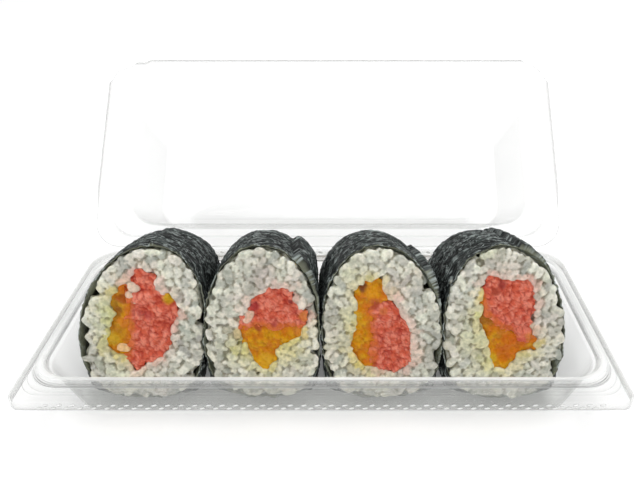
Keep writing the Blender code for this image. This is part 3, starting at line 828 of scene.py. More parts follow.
def make_filling(name, number, outline, recess, looks, marks, seam):
    """A strand of filling with crumbly cut ends, painted from its relief and its patches, with painted shade
    in its gaps and low spots.
    """
    piece = strand(f"{name}_{number}", outline, recess, ROLL_LENGTH - recess)
    mesh = piece.data
    local = read_points(mesh)
    normals = read_points(mesh, "normal")
    seed = number * 17.3 + len(name)
    coarse, gap = flakes(local, looks["flake"], seed)
    fine, fine_gap = flakes(local, looks["flake"] * FINE_FLAKE, seed + 5)
    end = np.minimum(local[:, 2] - recess, ROLL_LENGTH - recess - local[:, 2])
    face = 1 - smooth_step((end - CUT_REACH[0]) / CUT_REACH[1])
    broad = np.array([noise.noise((x / 5 + seed, y / 5, z / 5)) for x, y, z in local])
    crumb = np.array([noise.fractal((x / 1.1, y / 1.1, z / 1.1 + seed), 0.7, 2.0, 3) for x, y, z in local])
    relief = looks["relief"] * (coarse * 0.9 + fine * 0.35 + crumb * looks["crumb"] + broad * looks["swell"])
    push = np.where(face > 0.02, relief * (0.25 + 0.75 * face), relief * 0.25)
    push = push - 0.1 * (1 - face)
    local = local + normals * push[:, None]
    # Painted shade: gaps between the flakes and low spots of the relief are darkened.
    crevice = (1 - smooth_step(gap / 0.16)) * 0.7 + (1 - smooth_step(fine_gap / 0.12)) * 0.3
    shift = np.array([noise.noise((x / 2.3 - seed, y / 2.3, z / 2.3)) for x, y, z in local])
    tone = np.clip(0.45 + shift * 1.3 + broad * 0.6 + crumb * 0.9, 0, 1)
    colours = blended(looks["base"], looks["light"], tone)
    deep = np.clip(crevice * looks["crevice"] + np.clip(-coarse, 0, 1) * 0.8, 0, 1)
    colours = blended(colours, looks["recess_shade"], deep)
    near_seam = np.array([min(math.hypot(x - a, y - b) for a, b in seam) for x, y, _ in local])
    share = SEAM_SHARE * (1 - smooth_step((near_seam + shift * 1.5 - SEAM_REACH[0]) / SEAM_REACH[1]))
    colours = blended(colours, looks["beside"], share)
    for x, up, reach, colour, strength in marks:
        off = np.hypot(local[:, 0] - x, local[:, 1] - up) / reach + shift * 0.35
        share = strength * (1 - smooth_step((off - MARK_REACH[0]) / MARK_REACH[1]))
        colours = blended(colours, colour, share)
    mesh.vertices.foreach_set("co", roll_points(number, local).ravel())
    mesh.update()
    mesh.shade_smooth()
    paint(mesh, "tone", colours)
    mesh.materials.append(looks["finish"])
    return piece


def moist_finish(name, roughness, subsurface, radius, grain, bump):
    """Moist food whose colour is painted on its points, with a fine grain over it."""
    material, nodes = new_finish(name)
    tone = nodes.add("ShaderNodeAttribute", {"attribute_name": "tone"}, None, "Color")
    place = nodes.add("ShaderNodeTexCoord", None, None, "Object")
    speck = nodes.cloud(place, grain, 3.0)
    shade = nodes.ramp(speck, ((0.3, (0.82, 0.80, 0.80)), (0.7, (1.0, 1.0, 1.0))))
    rough = nodes.spread(speck, 0.3, 0.7) * 0.2 + (roughness - 0.1)
    raised = nodes.add("ShaderNodeBump", None, {"Strength": bump, "Distance": 0.0003, "Height": speck})
    surface(nodes, nodes.add("ShaderNodeBsdfPrincipled", None, {
        "Base Color": nodes.mix(1.0, tone, shade, "MULTIPLY"),
        "Roughness": rough,
        "Specular IOR Level": 0.2,
        "Subsurface Weight": subsurface,
        "Subsurface Radius": radius,
        "Subsurface Scale": 0.001,
        "Normal": raised,
    }))
    return material


FISH_LOOKS = {
    "flake": FISH_FLAKE, "relief": FISH_RELIEF, "crumb": 0.32, "swell": 0.7, "beside": SEAM_RED,
    "base": FISH_CORAL, "light": FISH_PINK, "recess_shade": FISH_RED, "crevice": 0.75,
    "finish": moist_finish("minced_fish", 0.40, 0.45, (1.0, 0.35, 0.25), 1500.0, 0.4),
}
noise.seed_set(CRUMB_SEED)
for number in ROLLS:
    outline, seam = filling_edges(number, FISH_EDGES, SEAM_OVERLAP, number)
    fish = make_filling("fish", number, outline, FISH_RECESS, FISH_LOOKS, FISH_MARKS[number], seam)
    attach(fish, "tray")
    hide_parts(f"roll_{number}_fish")

# Pickle
# Beside the fish lies a strand of soft orange-yellow pickle. It is smoother and wetter than the fish,
# browner where it touches it, and its juice stains the rice.
PICKLE_EDGES = {
    1: ((-6, 16), (-9.5, 17), (-12, 20.5), (-10.5, 26), (-8.5, 33), (-8.5, 39), (-5, 42)),
    2: ((14.5, 26.5), (12.5, 23), (6.5, 19.5), (4.5, 15), (1.5, 11.5), (-2, 12.5),
        (-4, 18), (-6, 22), (-8, 26.5)),
    3: ((-4, 12), (-8, 13), (-11, 19.5), (-9.5, 27), (-9, 35), (-9, 41.5), (-5, 44.5),
        (-0.5, 43.5), (1.5, 38.5)),
    4: ((11, 22.5), (10.5, 19), (5.5, 17.5), (3, 12), (-2.5, 11.5), (-5.5, 17.5), (-6, 24),
        (-10, 30), (-9, 38)),
}
PICKLE_OVERLAP = 0.7
PICKLE_RECESS = 0.8
PICKLE_SEED = 50
PICKLE_ORANGE = (0.68, 0.215, 0.001)
PICKLE_YELLOW = (0.76, 0.38, 0.004)
# Brown of the painted shade in the pickle's gaps and low spots.
PICKLE_BROWN = (0.42, 0.15, 0.008)
PICKLE_MARKS = {
    1: ((-9.0, 34.0, 4.0, (0.36, 0.20, 0.004), 0.7), (-8.0, 26.0, 4.0, (0.50, 0.22, 0.004), 0.6),
        (-4.8, 37.5, 2.4, (0.40, 0.09, 0.006), 0.85), (-6.6, 33.0, 1.6, (0.34, 0.10, 0.004), 0.7),
        (-9.5, 23.0, 2.5, (0.66, 0.42, 0.02), 0.8), (-4.8, 28.8, 2.2, (0.75, 0.25, 0.02), 0.8)),
    2: ((-1.2, 26.9, 1.6, (0.40, 0.06, 0.02), 0.8), (1.0, 14.5, 3.0, (0.78, 0.46, 0.02), 0.7),
        (12.5, 26.0, 2.0, (0.75, 0.28, 0.03), 0.7)),
    3: ((-7.0, 41.5, 1.8, (0.20, 0.05, 0.01), 0.95), (-3.6, 40.0, 2.4, (0.78, 0.34, 0.01), 0.8),
        (-9.0, 31.0, 2.0, (0.70, 0.44, 0.03), 0.7), (-3.0, 36.5, 1.6, (0.55, 0.14, 0.02), 0.7)),
    4: ((3.0, 20.0, 5.0, (0.66, 0.13, 0.004), 0.7), (-6.5, 30.5, 3.0, (0.36, 0.13, 0.005), 0.85),
        (-6.2, 32.5, 2.2, (0.34, 0.12, 0.006), 0.8), (-1.6, 25.6, 2.2, (0.70, 0.22, 0.01), 0.7),
        (-4.6, 15.3, 2.2, (0.66, 0.44, 0.02), 0.8)),
}
PICKLE_LOOKS = {
    "flake": 2.8, "relief": 0.9, "crumb": 0.25, "swell": 0.9, "beside": SEAM_ORANGE,
    "base": PICKLE_ORANGE, "light": PICKLE_YELLOW, "recess_shade": PICKLE_BROWN, "crevice": 0.35,
    "finish": moist_finish("pickle", 0.30, 0.45, (1.0, 0.5, 0.1), 900.0, 0.3),
}
TUNNELS = {}
for number in ROLLS:
    outline, seam = filling_edges(number, PICKLE_EDGES, PICKLE_OVERLAP, number + PICKLE_SEED)
    pickle = make_filling("pickle", number, outline, PICKLE_RECESS, PICKLE_LOOKS, PICKLE_MARKS[number], seam)
    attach(pickle, "tray")
    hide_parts(f"roll_{number}_pickle")
    edge = curve_through(PICKLE_EDGES[number])
    fish_edge = curve_through(FISH_EDGES[number])
    if np.linalg.norm(fish_edge[-1] - edge[0]) > SAME_POINT:
        edge = edge[::-1]
    TUNNELS[number] = np.array(fish_edge[:-1] + edge[:-1])

# Rice
# Short-grain rice, cooked and seasoned, so that the plump grains stick together. The knife cuts
# across them, and those beside the fillings take up their colour.
WIDEST_AT = 23.0
UPPER_POWER = 2.1
LOWER_POWER = 2.7
SEAWEED_ROOM = 0.85
CORE_RECESS = 2.1
CORE_STEPS = 96
CORE_STATIONS = 12
CORE_MIDDLE = (0, 27)
GRAIN_LENGTH = 5.3
GRAIN_WIDTH = 3.05
GRAIN_LENGTHS = (0.78, 1.12)
GRAIN_WIDTHS = (0.84, 1.18)
GRAIN_FLATNESS = (0.80, 1.0)
GRAIN_PLUMPNESS = 0.72
GRAIN_TAPER = 0.14
GRAIN_BEND = 0.22
GRAIN_UNEVENNESS = 0.75 * MM
FRONT_GRAINS = 310
REAR_GRAINS = 250
GRAIN_DEPTH = (-0.1, 3.2)
GRAIN_SPACING = 1.32
GRAIN_PUSH = 0.30
GRAIN_LEVELLING = 0.97
WALL_PUSH = 0.8
TUNNEL_PUSH = 0.6
END_PUSH = 0.5
CUT_AT = -0.1
CUT_FLATTENING = 0.5
PACK_STEPS = 70
PACK_SEED = 23
RICE_WHITE = (0.88, 0.855, 0.74)
RICE_CLEAR = (0.45, 0.455, 0.40)
RICE_CORE = (0.60, 0.59, 0.51)
RICE_VOXEL = 0.44 * MM
# Painted shade in the hollows between grains: how deep a hollow is fully shaded, and the colour it is
# darkened towards.
JOINT_DEPTH = 0.055
JOINT_SHADE = (0.52, 0.50, 0.44)
STAINS = (
    # the filling's edges, its stain's colour and how far it reaches in millimetres
    (FISH_EDGES, (0.86, 0.50, 0.40), 1.9),
    (PICKLE_EDGES, (0.78, 0.64, 0.16), 2.4),
)
RICE_MARKS = {
    # x, height, reach in millimetres, colour and strength of a stain on the cut face
    1: ((-9.7, 29.4, 4.0, (0.60, 0.66, 0.20), 0.75), (-11.5, 34.5, 3.5, (0.72, 0.74, 0.36), 0.6),
        (-11.0, 23.0, 3.0, (0.66, 0.66, 0.20), 0.6), (-6.0, 12.0, 6.5, (0.78, 0.78, 0.46), 0.5)),
    2: ((-7.5, 19.0, 4.8, (0.80, 0.74, 0.22), 0.75), (9.0, 18.5, 5.0, (0.82, 0.74, 0.26), 0.7),
        (2.3, 44.5, 4.5, (0.82, 0.66, 0.60), 0.6), (-6.8, 38.0, 3.5, (0.82, 0.70, 0.62), 0.5),
        (0.0, 9.0, 6.0, (0.80, 0.78, 0.48), 0.5)),
    3: ((-12.0, 31.0, 3.8, (0.80, 0.76, 0.36), 0.6), (-14.0, 21.0, 5.0, (0.80, 0.76, 0.46), 0.5),
        (-9.5, 46.0, 4.5, (0.78, 0.76, 0.44), 0.5), (11.9, 18.5, 3.5, (0.84, 0.64, 0.54), 0.6),
        (5.0, 40.5, 4.0, (0.84, 0.62, 0.56), 0.6), (0.0, 7.0, 5.0, (0.80, 0.76, 0.48), 0.4)),
    4: ((-10.5, 22.0, 4.8, (0.76, 0.74, 0.34), 0.65), (-13.0, 31.3, 3.6, (0.78, 0.76, 0.50), 0.5),
        (-6.5, 13.0, 4.0, (0.76, 0.74, 0.32), 0.6), (-2.0, 48.5, 4.5, (0.84, 0.68, 0.60), 0.5),
        (-6.4, 53.5, 3.0, (0.58, 0.60, 0.42), 0.6), (12.5, 27.0, 3.5, (0.84, 0.70, 0.62), 0.4)),
}
BARE_SPOTS = {
    # x, height and reach in millimetres of places by the sheet that hold no rice
    1: ((-19.8, 26.5, 2.6), (-20.0, 20.0, 2.8), (-15.0, 40.0, 2.6), (20.6, 28.8, 1.8), (16.0, 9.5, 1.8)),
    2: ((-18.6, 11.6, 2.4), (17.6, 17.5, 1.4), (-15.8, 42.0, 1.4)),
    3: ((14.2, 41.0, 1.6), (19.4, 15.4, 2.2), (-17.5, 9.5, 1.5)),
    4: ((17.6, 35.0, 1.6), (18.8, 11.0, 2.6), (-9.5, 50.5, 1.5)),
}
LOOSE_DEPTH = 0.7
LOOSE_GRAINS = {
    # x, height, turn in degrees and colour of a grain that lies on the fillings
    1: ((-0.6, 41.4, -28, (0.86, 0.66, 0.52)), (-4.2, 43.9, 20, (0.80, 0.60, 0.46)),
        (-1.6, 37.6, -50, (0.88, 0.58, 0.42)), (-6.0, 19.5, -12, (0.88, 0.55, 0.26))),
    2: ((-4.2, 31.0, 60, (0.88, 0.56, 0.42)),),
    3: ((5.6, 38.2, -40, (0.86, 0.58, 0.52)),),
    4: ((-9.2, 33.0, 70, (0.76, 0.74, 0.34)),),
}


def outer_outline(number, angles):
    """The roll's outside in millimetres: an egg that leans sideways, flattened where it lies."""
    _, half_width, lean, _ = ROLLS[number]
    radians = np.radians(angles)
    cos, sin = np.cos(radians), np.sin(radians)
    power = np.where(sin >= 0, 2 / UPPER_POWER, 2 / LOWER_POWER)
    across = np.sign(cos) * np.abs(cos) ** power
    upward = np.sign(sin) * np.abs(sin) ** power
    reach = np.where(sin >= 0, ROLL_HEIGHT - WIDEST_AT, WIDEST_AT)
    x = across * half_width + lean * np.maximum(upward, 0)
    return np.column_stack((x, WIDEST_AT + upward * reach))


def to_outline(points, outline):
    """How far each point lies inside a closed outline, and the way further in."""
    start = outline
    ahead = np.roll(outline, -1, 0)
    along = ahead - start
    offset = points[:, None] - start[None]
    share = np.clip(np.sum(offset * along, 2) / np.sum(along * along, 1), 0, 1)
    away = offset - along * share[..., None]
    distance = np.linalg.norm(away, axis=2)
    nearest = np.argmin(distance, 1)
    rows = np.arange(len(points))
    away, distance = away[rows, nearest], distance[rows, nearest]
    x, y = points[:, 0, None], points[:, 1, None]
    rises = (start[:, 1] > y) != (ahead[:, 1] > y)
    drop = np.where(along[:, 1] == 0, 1e-9, along[:, 1])
    crosses = rises & (x < along[:, 0] * (y - start[:, 1]) / drop + start[:, 0])
    side = np.where(np.sum(crosses, 1) % 2 == 1, 1.0, -1.0)
    return distance * side, away / np.maximum(distance, 1e-6)[:, None] * side[:, None]


def pack_grains(number, count, seed):
    """Places and directions of grains near a cut face, pushed apart until they hardly overlap."""
    draw = np.random.default_rng(seed)
    walls = even_outline(grow(outer_outline(number, np.arange(0, 360, 3)), -SEAWEED_ROOM), 90)
    tunnel = TUNNELS[number]
    places = []
    while len(places) < count:
        spot = draw.uniform((-24, 0), (24, ROLL_HEIGHT))
        room = to_outline(spot[None], walls)[0][0]
        clear = -to_outline(spot[None], tunnel)[0][0]
        if room > 0.8 and clear > 0.4:
            places.append((*spot, draw.uniform(*GRAIN_DEPTH)))
    places = np.array(places)
    ways = draw.normal(size=(count, 3)) * (1, 1, 0.45)
    ways /= np.linalg.norm(ways, axis=1)[:, None]
    radius = GRAIN_WIDTH / 2
    reach = GRAIN_LENGTH / 2 - radius
    beads = np.array((-1.0, 0.0, 1.0)) * reach
    owner = np.repeat(np.arange(count), 3)
    apart = owner[:, None] != owner[None]
    for _ in range(PACK_STEPS):
        balls = (places[:, None] + ways[:, None] * beads[None, :, None]).reshape(-1, 3)
        gap = balls[:, None] - balls[None]
        distance = np.linalg.norm(gap, axis=2) + 1e-6
        press = np.clip(radius * GRAIN_SPACING - distance, 0, None) * apart
        force = np.sum(gap / distance[..., None] * press[..., None], 1) * GRAIN_PUSH
        room, inward = to_outline(balls[:, :2], walls)
        force[:, :2] += inward * np.clip(radius * 0.45 - room, 0, None)[:, None] * WALL_PUSH
        depth, deeper = to_outline(balls[:, :2], tunnel)
        force[:, :2] -= deeper * np.clip(depth + radius * 0.35, 0, None)[:, None] * TUNNEL_PUSH
        for x, up, spread in BARE_SPOTS[number]:
            away = balls[:, :2] - (x, up)
            far = np.linalg.norm(away, axis=1) + 1e-6
            push = np.clip(spread + radius * 0.5 - far, 0, None)[:, None]
            force[:, :2] += away / far[:, None] * push * WALL_PUSH
        force[:, 2] += np.clip(GRAIN_DEPTH[0] + 0.7 - balls[:, 2], 0, None) * END_PUSH
        force[:, 2] -= np.clip(balls[:, 2] - GRAIN_DEPTH[1], 0, None) * END_PUSH
        force = force.reshape(count, 3, 3)
        places = places + force.mean(1)
        ways = ways + (force * np.array((-1, 0, 1))[None, :, None]).sum(1) / reach * 0.5
        ways[:, 2] *= GRAIN_LEVELLING
        ways /= np.linalg.norm(ways, axis=1)[:, None]
    return places, ways, draw


def trimmed(points):
    """World points of a roll's grains, pressed flat where they stand past the knife's cut."""
    y = points[:, 1] / MM - FACE_PLACE[0]
    z = points[:, 2] / MM - FACE_PLACE[1]
    along = y * math.cos(LEAN_BACK) - z * math.sin(LEAN_BACK)
    past = np.maximum(CUT_AT - along, 0) - np.maximum(along - ROLL_LENGTH + CUT_AT, 0)
    way = np.array((0, math.cos(LEAN_BACK), -math.sin(LEAN_BACK)))
    return points + way * (past * CUT_FLATTENING * MM)[:, None]


def stain(number, places, draw):
    """Each grain's colour: white, but coloured beside a filling or at a stain."""
    count = len(places)
    clear = draw.uniform(0, 1, (count, 1)) ** 1.6
    colours = blended(RICE_WHITE, RICE_CLEAR, clear)
    colours = colours * (1 + draw.normal(0, 0.012, (count, 3)))
    for edges, colour, reach in STAINS:
        near = np.abs(to_outline(places[:, :2], np.array(curve_through(edges[number])))[0])
        colours = blended(colours, colour, np.exp(-(near / reach) ** 2) * draw.uniform(0.35, 0.9, count))
    for x, up, reach, colour, strength in RICE_MARKS[number]:
        off = np.hypot(places[:, 0] - x, places[:, 1] - up) / reach
        colours = blended(colours, colour, strength * np.exp(-off ** 2) * draw.uniform(0.6, 1.0, count))
    return np.clip(colours, 0, 1)


def sleeve(spans, count):
    """Faces of a closed sleeve: rows of its outside, then of its inside, joined at both ends."""
    inside, last = (spans + 1) * count, spans * count
    faces = wall(spans, count) + wall(spans, count, inside, True)
    for i in range(count):
        j = (i + 1) % count
        faces.append((j, i, inside + i, inside + j))
        faces.append((last + i, last + j, inside + last + j, inside + last + i))
    return faces


def core_mesh(number):
    """The rice behind the grains, with a tunnel for the fillings: its points and faces in local space."""
    walls = even_outline(grow(outer_outline(number, np.arange(0, 360, 3)), -SEAWEED_ROOM), CORE_STEPS)
    middle = np.array(CORE_MIDDLE)
    for x, up, spread in BARE_SPOTS[number]:
        off = np.hypot(walls[:, 0] - x, walls[:, 1] - up)
        pull = 2.2 * (1 - smooth_step((off - spread * 0.6) / 2.5))
        inward = middle - walls
        walls = walls + inward / np.linalg.norm(inward, axis=1)[:, None] * pull[:, None]
    hole = even_outline(grow(TUNNELS[number], FILLING_GAP / 2), CORE_STEPS)
    if np.sum(hole[:, 0] * np.roll(hole[:, 1], -1) - np.roll(hole[:, 0], -1) * hole[:, 1]) < 0:
        hole = hole[::-1]
    start = np.argmin(np.linalg.norm(hole - middle - (12, 0), axis=1))
    hole = np.roll(hole, -start, 0)

    def twist(turn):
        return np.sum(np.linalg.norm(np.roll(walls, -turn, 0) - hole, axis=1))

    walls = np.roll(walls, -min(range(CORE_STEPS), key=twist), 0)
    points = []
    for outline in (walls, hole):
        for along in np.linspace(CORE_RECESS, ROLL_LENGTH - CORE_RECESS, CORE_STATIONS + 1):
            points += [(x, up, along) for x, up in outline]
    return np.array(points), sleeve(CORE_STATIONS, CORE_STEPS)


def rice_tree(material):
    """Plump grains on the marked points, each a little different, joined to the core."""
    nodes, given = tree_with_inputs("rice_grains", {
        "Plumpness": 0.78, "Taper": 0.15, "Bend": 0.2, "Unevenness": 0.0004, "Seed": 3,
    })
    marked = nodes.add("GeometryNodeInputNamedAttribute", {"data_type": "BOOLEAN"}, {"Name": "grain"})
    turn = nodes.add("GeometryNodeInputNamedAttribute", {"data_type": "FLOAT_VECTOR"}, {"Name": "turn"})
    size = nodes.add("GeometryNodeInputNamedAttribute", {"data_type": "FLOAT_VECTOR"}, {"Name": "size"})
    ball = nodes.add("GeometryNodeMeshUVSphere", None, {"Segments": 12, "Rings": 9, "Radius": 1.0})
    place = nodes.add("GeometryNodeInputPosition")
    x, y, z = (nodes.part(place, axis) for axis in range(3))
    fuller = z.math("SIGN", z) * z.math("ABSOLUTE", z) ** given("Plumpness")
    taper = 1 - z * given("Taper")
    spot = nodes.add("ShaderNodeCombineXYZ", None,
                     {"X": x * taper + z * z * given("Bend"), "Y": y * taper, "Z": fuller})
    grain = nodes.add("GeometryNodeSetPosition", None, {"Geometry": ball, "Position": spot})
    rotation = nodes.add("FunctionNodeEulerToRotation", None, {"Euler": turn})
    grains = nodes.add("GeometryNodeInstanceOnPoints", None, {
        "Points": given("Geometry"), "Selection": marked, "Instance": grain, "Rotation": rotation,
        "Scale": size,
    })
    core = nodes.add("GeometryNodeDeleteGeometry", {"domain": "POINT"},
                     {"Geometry": given("Geometry"), "Selection": marked})
    whole = joined(nodes, grains, core)
    world = nodes.add("GeometryNodeInputPosition")
    shift = nodes.add("ShaderNodeTexNoise", {"noise_dimensions": "4D"},
                      {"Vector": world, "W": given("Seed"), "Scale": 520.0, "Detail": 2.0}, "Color")
    shift = nodes.add("ShaderNodeVectorMath", {"operation": "SUBTRACT"}, {0: shift, 1: (0.5, 0.5, 0.5)})
    shift = nodes.add("ShaderNodeVectorMath", {"operation": "SCALE"},
                      {0: shift, "Scale": given("Unevenness") * 2})
    whole = nodes.add("GeometryNodeSetPosition", None, {"Geometry": whole, "Offset": shift})
    whole = nodes.add("GeometryNodeSetShadeSmooth", None, {"Geometry": whole, "Shade Smooth": True})
    return finished_tree(nodes, whole, material)


def rice_finish():
    """Cooked rice: moist and a little see-through, greyer where a grain turns away."""
    material, nodes = new_finish("rice")
    tone = nodes.add("ShaderNodeAttribute", {"attribute_name": "tone"}, None, "Color")
    place = nodes.add("ShaderNodeTexCoord", None, None, "Object")
    cloud = nodes.cloud(place, 700.0, 2.0)
    fine = nodes.cloud(place, 2600.0, 2.0)
    shade = nodes.ramp(cloud, ((0.34, (0.70, 0.72, 0.70)), (0.60, (1.0, 1.0, 1.0))))
    raised = nodes.add("ShaderNodeBump", None,
                       {"Strength": 0.35, "Distance": 0.0002, "Height": fine * 0.5 + cloud})
    surface(nodes, nodes.add("ShaderNodeBsdfPrincipled", None, {
        "Base Color": nodes.mix(1.0, tone, shade, "MULTIPLY"),
        "Roughness": nodes.spread(cloud, 0.3, 0.7) * 0.16 + 0.14,
        "Specular IOR Level": 0.6,
        "Subsurface Weight": 0.6,
        "Subsurface Radius": (1.0, 0.92, 0.75),
        "Subsurface Scale": 0.0018,
        "Normal": raised,
    }))
    return material


def stuck_together(piece):
    """Grains and core remeshed into one sticky mass, each point keeping the colour of its grain, with
    painted shade darkening the hollows between grains.
    """
    before = read_points(piece.data)
    tones = np.empty(len(before) * 4)
    piece.data.attributes["tone"].data.foreach_get("color", tones)
    tones = tones.reshape(-1, 4)[:, :3]
    lookup = kdtree.KDTree(len(before))
    for i, point in enumerate(before):
        lookup.insert(point, i)
    lookup.balance()
    mesh = remeshed(piece, RICE_VOXEL)
    mesh.materials.clear()
    mesh.materials.append(rice_material)
    mesh.polygons.foreach_set("material_index", np.zeros(len(mesh.polygons), int))
    mesh.shade_smooth()
    points = read_points(mesh)
    ends = np.empty(len(mesh.edges) * 2, int)
    mesh.edges.foreach_get("vertices", ends)
    ends = ends.reshape(-1, 2)
    count = np.bincount(ends.ravel(), minlength=len(points))[:, None]

    def around(values):
        total = np.zeros_like(values)
        np.add.at(total, ends[:, 0], values[ends[:, 1]])
        np.add.at(total, ends[:, 1], values[ends[:, 0]])
        return total / count

    hollow = np.sum((around(points) - points) * read_points(mesh, "normal"), 1)[:, None] / RICE_VOXEL
    for _ in range(2):
        hollow = 0.5 * hollow + 0.5 * around(hollow)
    # Painted shade: points in the hollows between grains are darkened.
    joint = smooth_step(hollow / JOINT_DEPTH)
    nearest = [lookup.find(point)[1] for point in points]
    colours = tones[np.array(nearest)]
    colours = 0.4 * colours + 0.6 * around(colours)
    paint(mesh, "tone", colours * (1 - joint * (1 - np.array(JOINT_SHADE))))


def grain_turn(way, draw):
    """Euler angles that lay a grain's long axis along a way."""
    quaternion = Vector(way).to_track_quat("Z", "Y")
    spin = Euler((0, 0, draw.uniform(0, 6.28))).to_quaternion()
    return tuple((quaternion @ spin).to_euler())


rice_material = rice_finish()
rice_grains = rice_tree(rice_material)
for number in ROLLS:
    core_points, core_faces = core_mesh(number)
    rest, ways_out, sizes, tones = [], [], [], []
    for face, count in ((0, FRONT_GRAINS), (1, REAR_GRAINS)):
        places, ways, draw = pack_grains(number, count, PACK_SEED + 2 * number + face)
        colours = stain(number, places, draw)
        if face == 0:
            for x, up, degrees, colour in LOOSE_GRAINS[number]:
                way = (math.cos(math.radians(degrees)), math.sin(math.radians(degrees)), 0.1)
                places = np.vstack((places, (x, up, LOOSE_DEPTH)))
                ways = np.vstack((ways, way))
                colours = np.vstack((colours, colour))
        else:
            places = places * (1, 1, -1) + (0, 0, ROLL_LENGTH)
            ways = ways * (1, 1, -1)
        start = roll_points(number, places)
        ahead = roll_points(number, places + ways)
        for begin, end, colour in zip(start, ahead, colours):
            length = GRAIN_LENGTH * draw.uniform(*GRAIN_LENGTHS)
            width = GRAIN_WIDTH * draw.uniform(*GRAIN_WIDTHS)
            flat = width * draw.uniform(*GRAIN_FLATNESS)
            rest.append(begin)
            ways_out.append(grain_turn(end - begin, draw))
            sizes.append((width / 2 * MM, flat / 2 * MM, length / 2 * MM))
            tones.append(colour)
    core = roll_points(number, core_points)
    points = np.vstack((core, rest))
    rice = new_object(f"rice_{number}", points, core_faces)
    loose = np.arange(len(points)) >= len(core)
    mark = rice.data.attributes.new("grain", "BOOLEAN", "POINT")
    mark.data.foreach_set("value", loose)
    blank = np.zeros((len(core), 3))
    for key, values in (("turn", ways_out), ("size", sizes)):
        layer = rice.data.attributes.new(key, "FLOAT_VECTOR", "POINT")
        layer.data.foreach_set("vector", np.vstack((blank, values)).ravel())
    core_tones = np.tile(np.array(RICE_CORE), (len(core), 1))
    paint(rice.data, "tone", np.vstack((core_tones, tones)))
    rice.data.update()
    run_tree(rice, rice_grains, {
        "Plumpness": GRAIN_PLUMPNESS, "Taper": GRAIN_TAPER, "Bend": GRAIN_BEND,
        "Unevenness": GRAIN_UNEVENNESS, "Seed": number,
    })
    rice.data.vertices.foreach_set("co", trimmed(read_points(rice.data)).ravel())
    rice.data.update()
    stuck_together(rice)
    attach(rice, "tray")
    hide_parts(f"roll_{number}_rice")

# Seaweed
# A sheet of dried seaweed is wrapped once round the rice, its loose end lying over its start. Moisture
# from the rice has wrinkled it, and the knife has left its edge ragged.
SHEET_THICKNESS = 0.35
SHEET_INSIDE = -SEAWEED_ROOM + 0.12
WRAP_STEPS = 330
WRAP_STATIONS = 110
FLAPS = {
    # start and end in degrees round the roll, and rise in millimetres
    1: (56, 76, 0.9), 2: (12, 58, 2.6), 3: (10, 50, 2.2), 4: (40, 84, 1.8),
}
SHOULDERS = {
    # angle round the roll, spread and push in millimetres of the sheet towards the rear
    1: ((150, 24, 2.2), (32, 24, 2.4), (0, 26, 0.6)),
    2: ((36, 20, 2.2), (150, 20, 0.6), (0, 26, 0.7), (180, 26, 0.8)),
    3: ((42, 20, 1.0), (150, 20, 0.5), (0, 26, 0.8), (180, 26, 0.8)),
    4: ((52, 18, 2.0), (150, 20, 0.5), (180, 26, 0.8)),
}
WRINKLE = 0.75
WARP_SCALE, SWAY_SCALE, FLAP_SCALE = 8, 3.5, 3.5
LUMP_ROUND, LUMP_ALONG = 6, 4
FOLD_ROUND, FOLD_ALONG = 9, 2.2
CREASE_ROUND, CREASE_ALONG = 4, 1.3
RAGGED_SCALE, RAGGED_FINE = 2.2, 0.8
LUMPS, FOLDS, CREASES, WRINKLE_BASE = 0.5, 0.55, 0.35, 0.25
LIFT, LIFT_AT, LIFT_SPREAD = 1.0, 88, 50
FLAP_WANDER = 3.0
FOOT_SPREAD = 0.8
EDGE_BACK = 0.8
RAGGED = 0.8
NORI_DARK = (0.0040, 0.0055, 0.0050)
# Slate of the painted sheen on the wrinkles' crests.
NORI_SLATE = (0.085, 0.104, 0.098)
# Colour of the painted highlight glints.
NORI_STREAK = (0.46, 0.52, 0.50)
NORI_OLIVE = (0.34, 0.36, 0.26)
# Width of the painted glint lines, and the patches where they show.
STREAK_LINE = (0.042, 0.012)
STREAK_PATCH = (0.34, 0.52)


